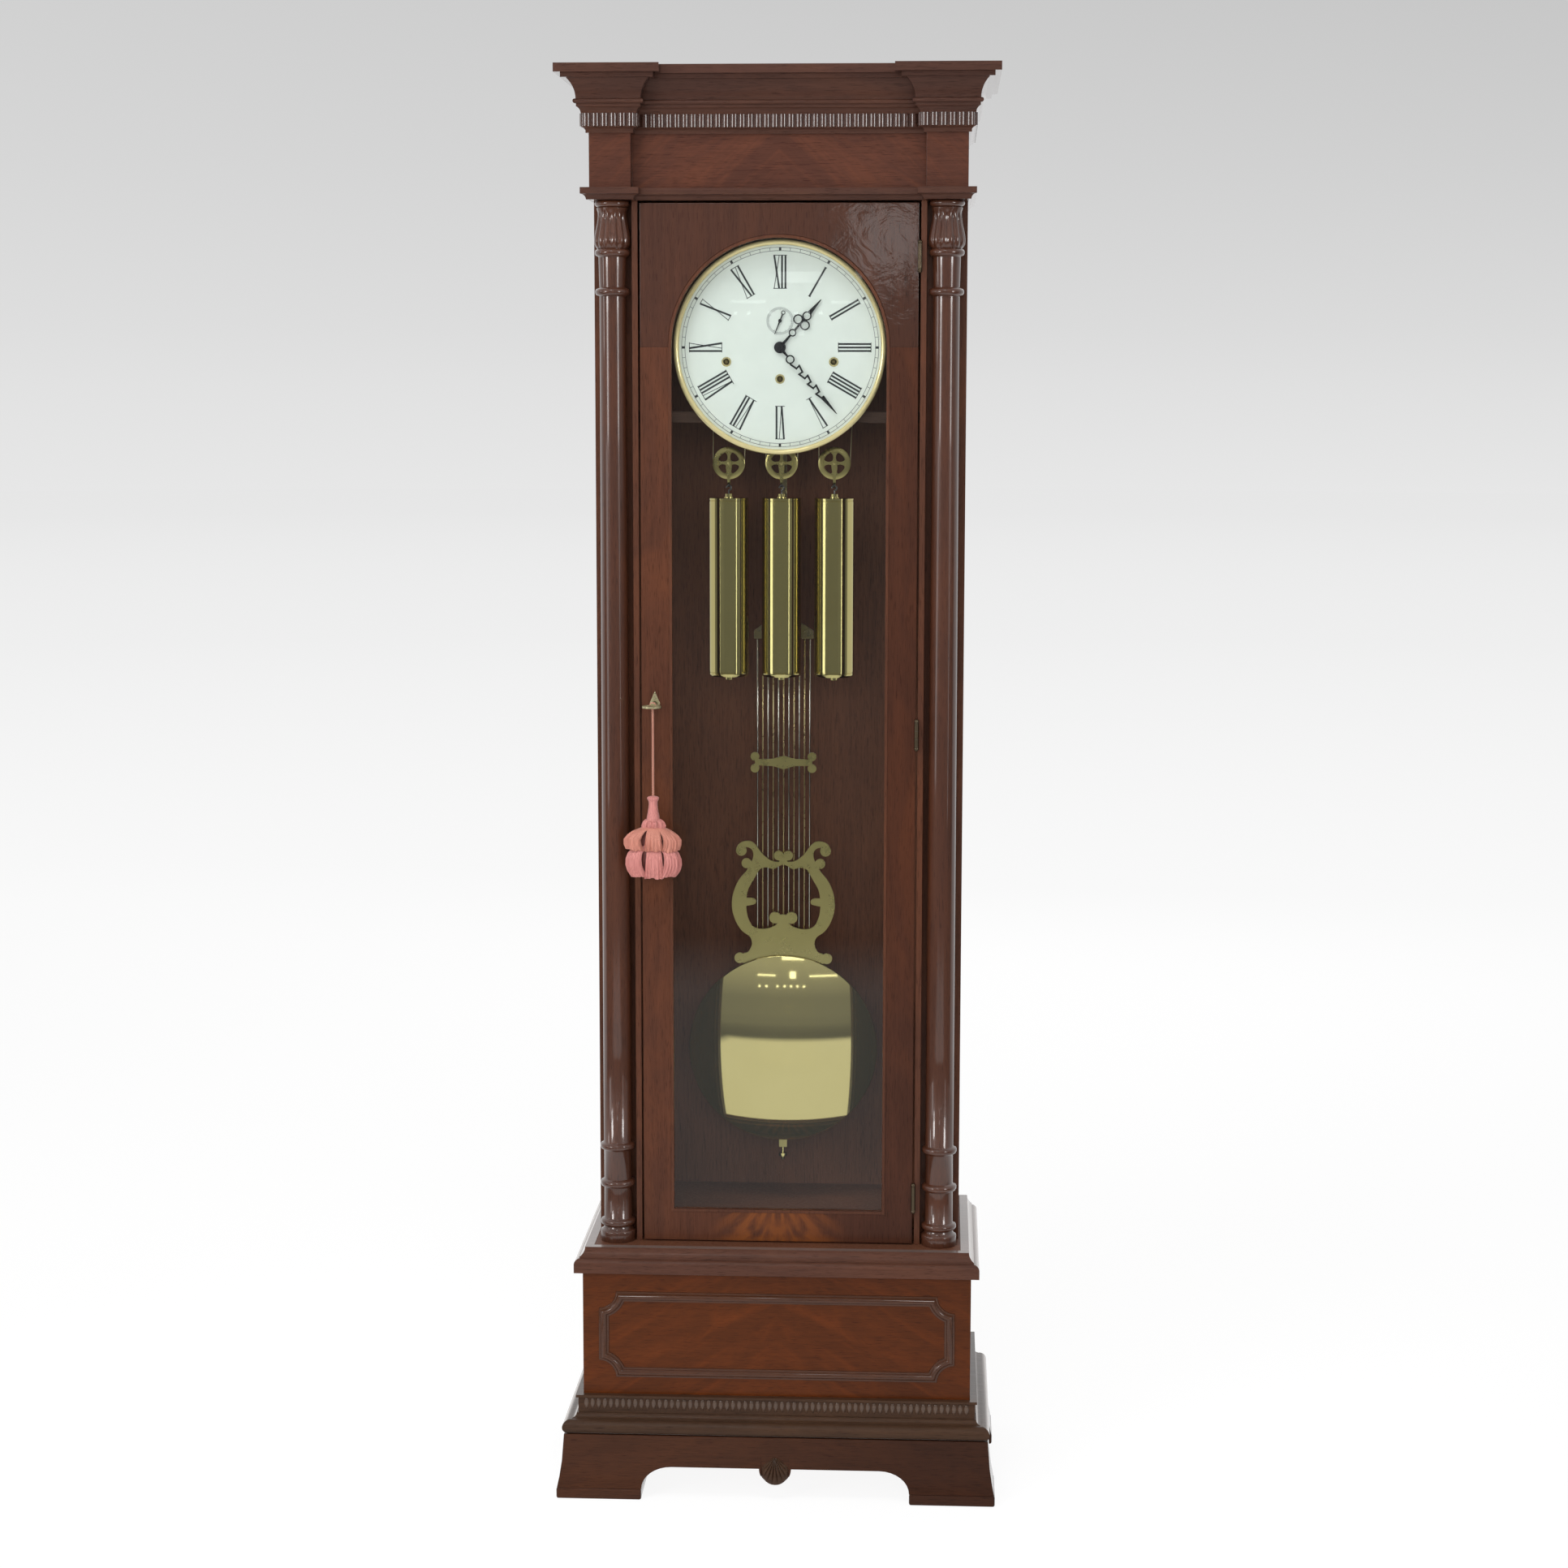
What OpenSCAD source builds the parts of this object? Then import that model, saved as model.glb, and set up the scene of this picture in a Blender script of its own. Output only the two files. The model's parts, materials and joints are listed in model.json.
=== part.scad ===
// Longcase clock with a glazed door, two turned columns, three weights and a lyre pendulum.
// Millimetres, +Z up, front towards -Y. The origin is on the floor under the middle of the case.

/* [Case] */
// Height from the floor to the top of the cornice
overall_h = 2108; // [2060:1:2160]
// Depth from the fronts of the feet to the back
overall_d = 363; // [350:1:385]
// Width of the trunk over its side boards
trunk_w = 543; // [530:1:560]
// Thickness of the trunk side boards
side_t = 14; // [10:0.5:18]
// Thickness of the backboard
back_t = 10; // [6:0.5:14]
// Thickness of the panels round the base
panel_t = 16; // [12:0.5:18]
// Thickness of the floor and top boards
board_t = 18; // [12:0.5:20]

/* [Base] */
// Thickness of the pads under the feet
pad_h = 17; // [10:0.5:24]
// Height from the pads to the base moulding
apron_h = 80; // [70:1:95]
// Height of the base moulding
base_mould_h = 55.5; // [52:0.5:60]
// Height of the base panels that show
base_panel_h = 189; // [170:1:210]
// Height of the waist moulding
waist_h = 36.5; // [34:0.5:42]
// How far the feet stand out beyond the trunk
foot_out = 57; // [54:0.5:62]
// How far the top of the apron stands out
apron_out = 46; // [43:0.5:48]
// How far the base moulding stands out
base_mould_out = 48.5; // [47:0.5:52]
// How far the base panels stand out
base_out = 19; // [17.5:0.5:21]
// How far the waist moulding stands out
waist_out = 31; // [29:0.5:35]
// Width of each foot
foot_w = 128; // [110:1:150]
// Height of the arch between the feet above the floor
arch_z = 50; // [46:0.5:56]
// Width of the curved shoulders of the arch
arch_shoulder = 45; // [30:1:55]
// Thickness of the apron boards
apron_t = 18; // [14:0.5:22]

/* [Head of the case] */
// Height of the cornice
cornice_h = 94; // [92:0.5:100]
// How far the cornice stands out
cornice_out = 45; // [42:0.5:50]
// Height of the frieze
frieze_h = 76.5; // [60:0.5:90]
// Height of the architrave moulding
architrave_h = 17; // [15:0.5:22]
// How far the architrave stands out
architrave_out = 12; // [9:0.5:15]
// Width of the blocks over the columns
block_w = 60; // [56:0.5:62]
// How far the blocks stand in front of the frieze
block_step = 25; // [20:0.5:28]
// Spacing of the reeds under the cornice
reed_pitch = 11.8; // [10.5:0.1:14]

/* [Columns] */
// Radius of the shaft at its top
shaft_r_top = 19; // [17:0.25:20]
// Radius of the shaft at its foot
shaft_r_foot = 21; // [19:0.25:22]
// Radius of the turned rings
ring_r = 25.5; // [23.5:0.25:27]
// Number of reeds round the capital
capital_reeds = 14; // [10:1:18]

/* [Door] */
// Width of the door
door_w = 403; // [398:1:406]
// Thickness of the door
door_t = 22; // [20:0.5:24]
// Half the width of the glazed opening
sight_r = 156; // [152:0.5:158]
// Width of the bead round the glass
bead_w = 4.5; // [3:0.25:6]
// Thickness of the door glass
glass_t = 3; // [2:0.25:3.5]
// Height of the bottom rail of the door
rail_h = 48; // [40:1:70]
// Gap between the door and the case at the hinge side
hinge_gap = 3; // [2.6:0.1:3.4]
// Radius of the hinge knuckles
knuckle_r = 3.2; // [2.8:0.1:3.6]
// Length of a hinge without its tips
hinge_l = 36; // [30:1:44]

/* [Dial] */
// Distance from the top of the trunk down to the centre of the dial
dial_drop = 208.8; // [200:0.5:216]
// Outer radius of the bezel
bezel_r = 155; // [150:0.5:155.5]
// Width of the bezel
bezel_w = 7.5; // [6:0.25:9]
// Distance between the centre and the side winding holes
wind_x = 78.3; // [74:0.1:80]
// Height of the side winding holes below the centre
wind_drop = 20.8; // [18:0.1:24]
// Height of the middle winding hole below the centre
mid_wind_drop = 45.5; // [43:0.1:48]
// Height of the seconds hand above the centre
seconds_rise = 38.4; // [36:0.1:40]
// Radius of the winding holes
wind_hole_r = 4.6; // [4.4:0.1:6]
// Length of the minute hand
minute_l = 127; // [110:1:132]
// Length of the hour hand
hour_l = 91; // [80:1:96]

/* [Weights and pendulum] */
// Radius of a weight
weight_r = 29.5; // [26:0.25:32]
// Length of a weight
weight_l = 263.5; // [240:0.5:280]
// Distance from the seat rails down to the top of the weights
weight_fall = 110.7; // [108:0.1:132]
// Radius of a pulley
pulley_r = 24; // [22:0.25:26]
// Radius of the cable
cable_r = 0.75; // [0.5:0.05:1]
// Radius of the pendulum bob
bob_r = 145; // [135:0.5:150]
// Height of the middle of the bob above the floor
bob_z = 645; // [630:1:655]
// Spacing of the pendulum rods
rod_pitch = 7.95; // [7.4:0.05:8.2]
// Radius of a pendulum rod
rod_r = 1.15; // [0.9:0.05:1.4]

/* [Key and tassel] */
// Distance from the middle of the door to the key
key_x = 182; // [180:0.5:183]
// Height of the key above the floor
key_z = 1193; // [1150:1:1250]
// Length of the cord between the key and the tassel
cord_l = 133; // [110:1:150]
// Diameter of the tassel's cord
cord_d = 4; // [3.5:0.1:4.5]

/* [Hidden] */
$fn = 48;
hair = 0.05;            // glue line between mitred mouldings
run_gap = 0.05;         // radial running clearance of an arbor in its bore
seat_gap = 0.3;         // clearance between pieces that sit close to each other
trunk_x = trunk_w / 2;
back_y = overall_d / 2;
face_y = foot_out - overall_d / 2;      // front plane of the blocks over the columns
corner_d = block_w;                     // depth of the recess behind the columns
side_x = trunk_x - side_t;
inner_back = back_y - face_y - back_t;  // depth of the front of the backboard
case_d = back_y - face_y;
apron_z = pad_h + apron_h;
base_top = apron_z + base_mould_h;
waist_z = base_top + base_panel_h;
trunk_z = waist_z + waist_h;
cornice_z = overall_h - cornice_h;
frieze_z = cornice_z - frieze_h;
trunk_top = frieze_z - architrave_h;
board_top = overall_h - board_t;
ledge_out = base_out - panel_t;
floor_z = trunk_z + board_t;
block_x = trunk_x - block_w;
col_x = trunk_x - block_w / 2;
col_d = block_w / 2;
door_front = 22;
door_back = door_front + door_t;
door_x = door_w / 2;
door_z0 = trunk_z + 2.5;
door_z1 = trunk_top - 3.5;
jamb_x = door_x + hinge_gap;
jamb_t = 8.5;
rebate = sight_r + bead_w;
glass_d = door_front + 5;
stop_d = glass_d + glass_t;
sight_z = door_z0 + rail_h;
dial_z = trunk_top - dial_drop;
dial_d = 56;
dial_t = 1.5;
bezel_d = 41;
lens_d = bezel_d + 8;                   // depth of the back of the domed glass's rim
dial_r = bezel_r - 3;
glass_rise = 11;
plate_d = 72;
plate_t = 3;
plate_gap = 58;
back_plate_d = plate_d + plate_t + plate_gap;
post_x = 30;                            // distance of the post that holds a cable's fixed end
post_r = 2;
pillar_x = wind_x + 13.7;               // pillars stand between a drum and its post
plate_w = 2 * (wind_x + post_x) + 15.4;
plate_z0 = dial_z - 93;
plate_z1 = dial_z + 88;
seat_h = 16;
seat_z = plate_z0 - seat_h;
wind_z = dial_z - wind_drop;
mid_wind_z = dial_z - mid_wind_drop;
seconds_z = dial_z + seconds_rise;
anchor_z = seconds_z + 32;
weight_d = plate_d + plate_t + plate_gap / 2;
line_r = pulley_r - 2;                  // radius of a drum and of a pulley's groove
fall_x = line_r + cable_r + seat_gap;   // distance of a cable's fall from the middle
drum_l = 40;
weight_top_z = seat_z - weight_fall;
pulley_z = weight_top_z + 51;
pend_d = 170;
pend_t = 4;
arbor_r = 2;
lyre_top_z = bob_z + 321.7;
hanger_z = lyre_top_z + (anchor_z - lyre_top_z) * 0.3806;   // underside of the rods' bracket
clamp_z = lyre_top_z + (hanger_z - lyre_top_z) * 0.391;
hinge_x = door_x + hinge_gap / 2;
hinge_d = door_front - knuckle_r - 0.2;
hinge_zs = [door_z0 + 70, (door_z0 + door_z1) / 2, door_z1 - 76];
tassel_d = -12;

// Places something at a distance behind the front plane of the case.
module at(x, d, z) translate([x, face_y + d, z]) children();

// A board given by its left edge, front, underside, width, depth and height.
module board(x, d, z, w, t, h) at(x, d, z) cube([w, t, h]);

module both_sides() {
  children();
  mirror([1, 0, 0]) children();
}

// A round bar along Y from one depth to another.
module bar_y(x, z, r, d0, d1) at(x, d0, z) rotate([-90, 0, 0]) cylinder(r = r, h = d1 - d0);

// A flat outline in X and Z, given thickness along Y from one depth to another.
module plate_y(d0, d1) translate([0, face_y + d1, 0]) rotate([90, 0, 0]) linear_extrude(d1 - d0) children();

// One straight run of moulding. The section has the distance out from the face along X and the
// height along Y. The run starts at p, faces outwards by the angle a, and its two ends are
// mitred: 1 for an outer corner, -1 for an inner corner, 0 for a square end.
module run(p, a, len, e0, e1, reach, z) {
  translate([p[0], p[1], z]) rotate([0, 0, a]) intersection() {
    translate([-reach, 0, 0]) rotate([90, 0, 90]) linear_extrude(len + 2 * reach) children();
    linear_extrude(200) polygon([[hair, 0], [len - hair, 0],
      [len - hair + e1 * reach, reach], [hair - e0 * reach, reach]]);
  }
}

// Moulding round the front and the two sides, standing out from the face at the offset o.
module three_sided(o, reach, z) {
  w = trunk_x + o;
  run([w, back_y], -90, case_d + o, 0, 1, reach, z) children();
  run([w, face_y - o], 180, 2 * w, 1, 1, reach, z) children();
  run([-w, face_y - o], 90, case_d + o, 1, 0, reach, z) children();
}

// Moulding that also breaks forward round the two blocks over the columns.
module broken_front(o, reach, z) {
  w = trunk_x + o;
  b = block_x - o;
  f = face_y - o;
  run([w, back_y], -90, case_d + o, 0, 1, reach, z) children();
  run([w, f], 180, w - b, 1, 1, reach, z) children();
  run([b, f], 90, block_step, 1, -1, reach, z) children();
  run([b, f + block_step], 180, 2 * b, -1, -1, reach, z) children();
  run([-b, f + block_step], -90, block_step, -1, 1, reach, z) children();
  run([-b, f], 180, w - b, 1, 1, reach, z) children();
  run([-w, f], 90, case_d + o, 1, 0, reach, z) children();
}

// Feet and aprons

module foot_pads() color("saddlebrown") {
  for (s = [-1, 1]) {
    x = s * (trunk_x + foot_out) - (s > 0 ? foot_w : 0);
    board(x, -foot_out, 0, foot_w, foot_w * 0.75, pad_h);
    board(x, case_d - foot_w * 0.75, 0, foot_w, foot_w * 0.75, pad_h);
  }
}

// Half of the arch between two feet, as points from the foot up to the flat top.
function shoulder(x, w, z0, z1) = [for (i = [0 : 8])
  [x - w * (1 - cos(i * 11.25)), z0 + (z1 - z0) * sin(i * 11.25)]];

module apron_outline(half, foot) {
  right = shoulder(half - foot, arch_shoulder, pad_h, arch_z);
  left = [for (i = [len(right) - 1 : -1 : 0]) [-right[i][0], right[i][1]]];
  polygon(concat([[-half, pad_h], [-half, apron_z], [half, apron_z], [half, pad_h]], right, left));
}

// The apron's section: it flares outwards towards the floor.
module apron_section() {
  flare = foot_out - apron_out - 1;
  polygon([[0, 0], [apron_t + flare, 0], [apron_t + flare * 0.66, apron_h * 0.2],
    [apron_t + flare * 0.3, apron_h * 0.5], [apron_t, apron_h], [0, apron_h]]);
}

shell_w = 42;
shell_seat = 48;                        // how far the flat ground of the carved shell stands out

module bracket_aprons() color("sienna") {
  o = apron_out - apron_t;
  reach = apron_t + foot_out - apron_out;
  drop_r = 24;
  difference() {
    intersection() {
      run([trunk_x + o, face_y - o], 180, 2 * (trunk_x + o), 1, 1, reach, pad_h) apron_section();
      translate([0, face_y, 0]) rotate([90, 0, 0]) linear_extrude(200) union() {
        apron_outline(trunk_x + foot_out, foot_w);
        translate([0, arch_z]) intersection() {
          circle(drop_r);
          translate([-drop_r, -drop_r]) square([2 * drop_r, drop_r + 1]);
        }
      }
    }
    board(-shell_w / 2, -foot_out - 1, arch_z - drop_r - 1, shell_w, foot_out + 1 - shell_seat, 46);
  }
  both_sides() intersection() {
    run([trunk_x + o, back_y], -90, case_d + o, 0, 1, reach, pad_h) apron_section();
    translate([0, (back_y + face_y - foot_out) / 2, 0]) rotate([90, 0, 90]) linear_extrude(500)
      apron_outline((case_d + foot_out) / 2 + 0.01, foot_w * 0.75);
  }
  both_sides() {
    board(trunk_x - 30, -o + hair, pad_h, 30 + o - hair, 50, apron_h);
    board(trunk_x - 30, case_d - 50, pad_h, 30 + o - hair, 50, apron_h);
  }
}

// Carved scallop under the middle of the apron, its ribs fanning out from the top.
module apron_shell() color("saddlebrown") {
  top = arch_z + 19;
  ribs = 7;
  base_d = -shell_seat - 4;
  plate_y(base_d, -shell_seat) intersection() {
    translate([0, top - 24]) circle(20);
    translate([0, top]) polygon([[-9, 1], [9, 1], [34, -50], [-34, -50]]);
  }
  for (i = [0 : ribs - 1]) {
    a = (i - (ribs - 1) / 2) * 11;
    at(0, base_d, top - 5) rotate([0, a, 0]) translate([0, 0, -34]) cylinder(r = 2.2, h = 28);
  }
}

// Base

// Torus, ogee and plain band of the base moulding, with its carved band in front.
module base_section() {
  band = base_out + 9;
  inner = base_out;
  translate([0, 0]) square([base_mould_out - 10, 21]);
  translate([base_mould_out - 10.5, 10.5]) circle(10.5);
  difference() {
    translate([0, 21 - hair]) square([band + 7, 7]);
    translate([band + 7, 21 + 7]) circle(6.5);
  }
  translate([0, 27]) square([band - 2, base_mould_h - 27]);
  translate([inner, base_mould_h - 4]) square([band - inner + 1.5, 4]);
}

module base_moulding() color("saddlebrown") three_sided(0, base_mould_out + 2, apron_z) difference() {
  base_section();
  translate([-1, -1]) square([base_out + 1, base_mould_h + 2]);
}

module base_panels() color("sienna") {
  x = trunk_x + base_out;
  board(-x, -base_out, apron_z, 2 * x, panel_t, waist_z - apron_z);
  both_sides() board(x - panel_t, -base_out + panel_t, apron_z, panel_t,
    case_d + base_out - panel_t, waist_z - apron_z);
}

// A frame with notched corners, its edge set in by the given inset.
module notched(w, h, inset, notch) difference() {
  square([w - 2 * inset, h - 2 * inset], center = true);
  for (sx = [-1, 1], sz = [-1, 1]) translate([sx * w / 2, sz * h / 2]) circle(notch + inset);
}

module panel_moulding() color("saddlebrown") {
  w = 2 * trunk_x - 9;
  h = 133;
  notch = 26;
  zc = base_top + 26 + h / 2;
  for (step = [[0, 16, 3], [3, 13, 5.5], [5.5, 10.5, 7]])
    translate([0, face_y - base_out, zc]) rotate([90, 0, 0]) linear_extrude(step[2]) difference() {
      notched(w, h, step[0], notch);
      notched(w, h, step[1], notch);
    }
}

// Vertical face at the bottom, then an ogee up to the ledge.
module waist_section() {
  face_h = 11.5;
  rise = waist_h - face_h;
  x0 = ledge_out;
  difference() {
    translate([x0, 0]) square([waist_out - x0, waist_h]);
    translate([waist_out, waist_h]) circle(rise * 0.62);
    translate([waist_out - rise * 0.62, waist_h - 1.5]) square([rise, rise]);
    difference() {
      translate([waist_out - 8, face_h]) square([20, rise]);
      translate([waist_out - 8, face_h + 1.5]) circle(8);
    }
  }
}

module waist_moulding() color("sienna") three_sided(0, waist_out + 2, waist_z) waist_section();

// Boards inside the case: plinth bottom, ledge board, rails, trunk floor and top board.
module carcass_boards() color("maroon") {
  x = trunk_x + base_out - panel_t;
  board(-x, panel_t - base_out, apron_z, 2 * x, inner_back + base_out - panel_t, board_t);
  ledge = trunk_x + ledge_out;
  board(-ledge, -ledge_out, trunk_z - board_t, 2 * ledge, case_d + ledge_out, board_t);
  for (d = [-ledge_out, inner_back - 30])
    board(-x, d, trunk_z - board_t - 30, 2 * x, 30, 30);
  board(-jamb_x, door_back + 2, trunk_z, 2 * jamb_x, corner_d + side_t - door_back - 2, board_t);
  board(-side_x, corner_d + side_t, trunk_z, 2 * side_x, inner_back - corner_d - side_t, board_t);
  board(-trunk_x, block_step, board_top, 2 * trunk_x, case_d - block_step, board_t);
  both_sides() board(block_x, 0, board_top, block_w, block_step, board_t);
}

// Trunk

module trunk_sides() color("sienna") {
  both_sides() {
    board(side_x, corner_d, trunk_z, side_t, case_d - corner_d, board_top - trunk_z);
    board(jamb_x + jamb_t, corner_d, trunk_z, side_x - jamb_x - jamb_t, side_t,
      trunk_top - trunk_z);
  }
  jambs();
}

// The boards beside the door. The left one has the mortise for the lock's bolt.
module jambs() difference() {
  both_sides() board(jamb_x, door_front + 2, trunk_z, jamb_t, corner_d + side_t - door_front - 2,
    trunk_top - trunk_z);
  board(-jamb_x - jamb_t + 1, door_back + 1.5, key_z - 19, jamb_t, 7.4, 17);
}

// A ring turned on a column: a bead with a small step above and below.
module ring_section(z, r) {
  translate([0, z - 6]) square([r - 3, 12]);
  translate([r - 4, z]) circle(4);
}

module column_section() {
  foot = trunk_z;
  head = trunk_top;
  ring_zs = [foot + 29, foot + 89, foot + 146];
  neck_z = head - 130;
  cup_z = head - 74;
  difference() {
    translate([0, foot]) square([ring_r + 1, 24]);
    translate([ring_r + 9, foot + 22]) circle(11);
  }
  translate([0, foot + 20]) square([shaft_r_foot - 0.5, ring_zs[2] - foot - 20]);
  for (z = ring_zs) ring_section(z, ring_r + 0.5);
  polygon([[0, ring_zs[2]], [shaft_r_foot, ring_zs[2]], [shaft_r_foot - 0.3, foot + 500],
    [shaft_r_top, neck_z], [0, neck_z]]);
  ring_section(neck_z, ring_r - 0.5);
  translate([0, neck_z]) square([shaft_r_top + 0.7, cup_z - neck_z]);
  ring_section(cup_z, ring_r - 0.5);
  translate([0, head - 9]) square([ring_r - 5, 9]);
  translate([ring_r - 7, head - 5]) circle(4.5);
}

// Swelling body of the capital, before it is reeded.
module vase_section(cup_z, head) {
  polygon([[0, cup_z], [21, cup_z + 4], [25, cup_z + 9], [26.5, cup_z + 16], [25.4, cup_z + 26],
    [22.6, cup_z + 40], [20.4, cup_z + 54], [20.6, head - 12], [21.5, head - 8], [0, head - 8]]);
}

module turned_columns() color("firebrick") both_sides() {
  cup_z = trunk_top - 74;
  groove_r = 90;
  at(col_x, col_d, 0) {
    rotate_extrude() column_section();
    difference() {
      rotate_extrude() vase_section(cup_z, trunk_top);
      for (i = [0 : capital_reeds - 1]) rotate([0, 0, i * 360 / capital_reeds])
        translate([27.4 + groove_r, 0, cup_z + 17]) rotate([90, 0, 0]) rotate_extrude(angle = 360)
          translate([groove_r, 0]) circle(2);
    }
  }
}

module backboard() color("maroon") {
  x = trunk_x + base_out - panel_t;
  board(-x, inner_back, apron_z, 2 * x, back_t, trunk_z - board_t - apron_z);
  board(-side_x, inner_back, trunk_z, 2 * side_x, back_t, board_top - trunk_z);
}

// Head of the case

module frieze() color("sienna") {
  board(-block_x, block_step, trunk_top, 2 * block_x, board_t, board_top - trunk_top);
  both_sides() board(block_x, 0, trunk_top, block_w, block_w, board_top - trunk_top);
}

module architrave_section() {
  difference() {
    square([architrave_out, architrave_h]);
    translate([architrave_out, 0]) circle(architrave_h * 0.46);
  }
}

module architrave() color("sienna") broken_front(0, architrave_out + 1, trunk_top) architrave_section();

// Heights in the cornice section are measured down from its top.
module cornice_section() {
  h = cornice_h;
  o = cornice_out;
  square([4, h]);
  translate([0, h - 12.5]) square([o, 12.5]);
  translate([0, h - 19]) square([o - 9, 7]);
  difference() {
    translate([0, h - 47]) square([o - 16, 29]);
    translate([o + 10.1, h - 47]) circle(38.6);
  }
  translate([0, h - 53]) square([o - 29, 7]);
  translate([o - 28, h - 50.5]) circle(3.4);
  difference() {
    translate([0, h - 67]) square([o - 29, 15]);
    translate([o - 25, h - 67]) circle(10);
  }
  translate([0, 9]) square([8, h - 67 - 9 + 1]);
  difference() {
    square([9.5, 9]);
    translate([11, 0]) circle(8);
  }
}

module cornice_moulding() color("sienna") broken_front(0, cornice_out + 2, cornice_z) cornice_section();

// A row of upright reeds with a thin backing, filling the given length.
module reed_row(len, h) {
  n = max(1, round(len / reed_pitch));
  p = len / n;
  bulge = 4.2;
  r = p * 0.49;
  translate([0.1, -1, 0]) cube([len - 0.2, 1, h]);
  for (i = [0 : n - 1]) translate([(i + 0.5) * p, 0, 0]) intersection() {
    translate([0, r - bulge, 0]) cylinder(r = r, h = h);
    translate([-p, -p, 0]) cube([2 * p, p, h]);
  }
}

module reeded_band() color("sienna") {
  h = cornice_h - 76;
  z = cornice_z + 9;
  seat = 8.2;
  w = trunk_x + seat;
  b = block_x - seat;
  f = face_y - seat;
  turn = 4.4;
  both_sides() {
    translate([b, f, z]) reed_row(w - b, h);
    translate([b, f + block_step - turn, z]) rotate([0, 0, -90]) reed_row(block_step - turn, h);
    translate([w, f, z]) rotate([0, 0, 90]) reed_row(case_d + seat, h);
  }
  translate([-b + turn, f + block_step, z]) reed_row(2 * (b - turn), h);
}

// Seat and movement

module seat_rails() color("maroon") {
  notch = corner_d + side_t;
  board(-jamb_x, plate_d - 4, seat_z, 2 * jamb_x, 20, seat_h);
  board(-side_x, notch, seat_z, 2 * side_x, plate_d + 16 - notch, seat_h);
  board(-side_x, back_plate_d - 12, seat_z, 2 * side_x, 20, seat_h);
}

chime_count = 9;
chime_pitch = 14;
chime_x = -chime_pitch * (chime_count - 1) / 2;
hammer_d = back_plate_d + plate_t + 70;
hammer_z = seconds_z + 10;
hammer_l = 14;
chime_r = 1.6;
chime_d = hammer_d + hammer_l - 4;

// Rods of falling length under their block, which a bracket holds off the backboard.
module chime_rods() {
  block_z = plate_z1 + 60;
  color("dimgray") {
    board(chime_x - chime_pitch, chime_d - 8, block_z, chime_pitch * (chime_count + 1), 16, 22);
    board(-30, chime_d + 8, block_z, 60, inner_back - chime_d - 8, 8);
  }
  color("silver") for (i = [0 : chime_count - 1]) {
    l = 290 - i * 9;
    at(chime_x + i * chime_pitch, chime_d, block_z - l) cylinder(r = chime_r, h = l);
  }
}

// Hammers on their common arbor behind the movement. They lift forwards, away from the rods.
module chime_hammers() color("goldenrod") {
  at(-79.5, hammer_d, hammer_z) rotate([0, 90, 0]) cylinder(r = arbor_r, h = 159);
  for (i = [0 : chime_count - 1]) {
    x = chime_x + i * chime_pitch;
    board(x - 1.5, hammer_d - 2, hammer_z - 42, 3, 2, 42);
    bar_y(x, hammer_z - 46, 5, hammer_d - 6, hammer_d - 6 + hammer_l);
  }
}

module plate_holes(extra) {
  for (s = [-1, 1]) bar_y(s * wind_x, wind_z, arbor_r + extra, plate_d - 1, back_plate_d + 9);
  bar_y(0, mid_wind_z, arbor_r + extra, plate_d - 1, back_plate_d + 9);
  bar_y(0, dial_z, arbor_r + extra, plate_d - 1, back_plate_d + 9);
  bar_y(0, seconds_z, arbor_r + extra, plate_d - 1, back_plate_d + 9);
  bar_y(0, anchor_z, arbor_r + extra, plate_d - 1, back_plate_d + 9);
}

motion_m = 0.8;
motion_x = motion_m * 32;
hour_m = motion_x / 30;
hour_bore = 4 + run_gap;

// Two plates, pillars, cable posts, dial feet, hammer brackets, cock and the motion work's stud.
module movement_plates() color("goldenrod") {
  difference() {
    board(-plate_w / 2, plate_d, plate_z0, plate_w, plate_t, plate_z1 - plate_z0);
    plate_holes(run_gap);
  }
  difference() {
    board(-plate_w / 2, back_plate_d, plate_z0, plate_w, plate_t, plate_z1 - plate_z0);
    plate_holes(run_gap);
  }
  for (s = [-1, 1], z = [plate_z0 + 12, plate_z1 - 12])
    bar_y(s * pillar_x, z, 5, plate_d + plate_t, back_plate_d);
  for (s = [-1, 1], z = [plate_z0 + 30, plate_z1 - 30])
    bar_y(s * (plate_w / 2 - 12), z, 2.5, dial_d + dial_t, plate_d);
  for (w = [[-wind_x, wind_z], [0, mid_wind_z], [wind_x, wind_z]])
    bar_y(w[0] + post_x, w[1], post_r, plate_d + plate_t, back_plate_d);
  bar_y(motion_x, dial_z, 1.5, plate_d - 9, plate_d);
  difference() {
    union() {
      board(-16, back_plate_d + plate_t, anchor_z + 6, 32, pend_d + 8 - back_plate_d - plate_t, 6);
      board(-16, back_plate_d + plate_t, anchor_z + 12, 32, 4, 6);
    }
    board(-5, pend_d - 1.5, anchor_z + 5, 10, 3, 8);
  }
  both_sides() difference() {
    union() {
      board(76, back_plate_d + plate_t, hammer_z - 6, 4, 76, 12);
      board(76, back_plate_d + plate_t, hammer_z - 14, 12, 3, 20);
    }
    at(70, hammer_d, hammer_z) rotate([0, 90, 0]) cylinder(r = arbor_r + run_gap, h = 20);
  }
}

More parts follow.
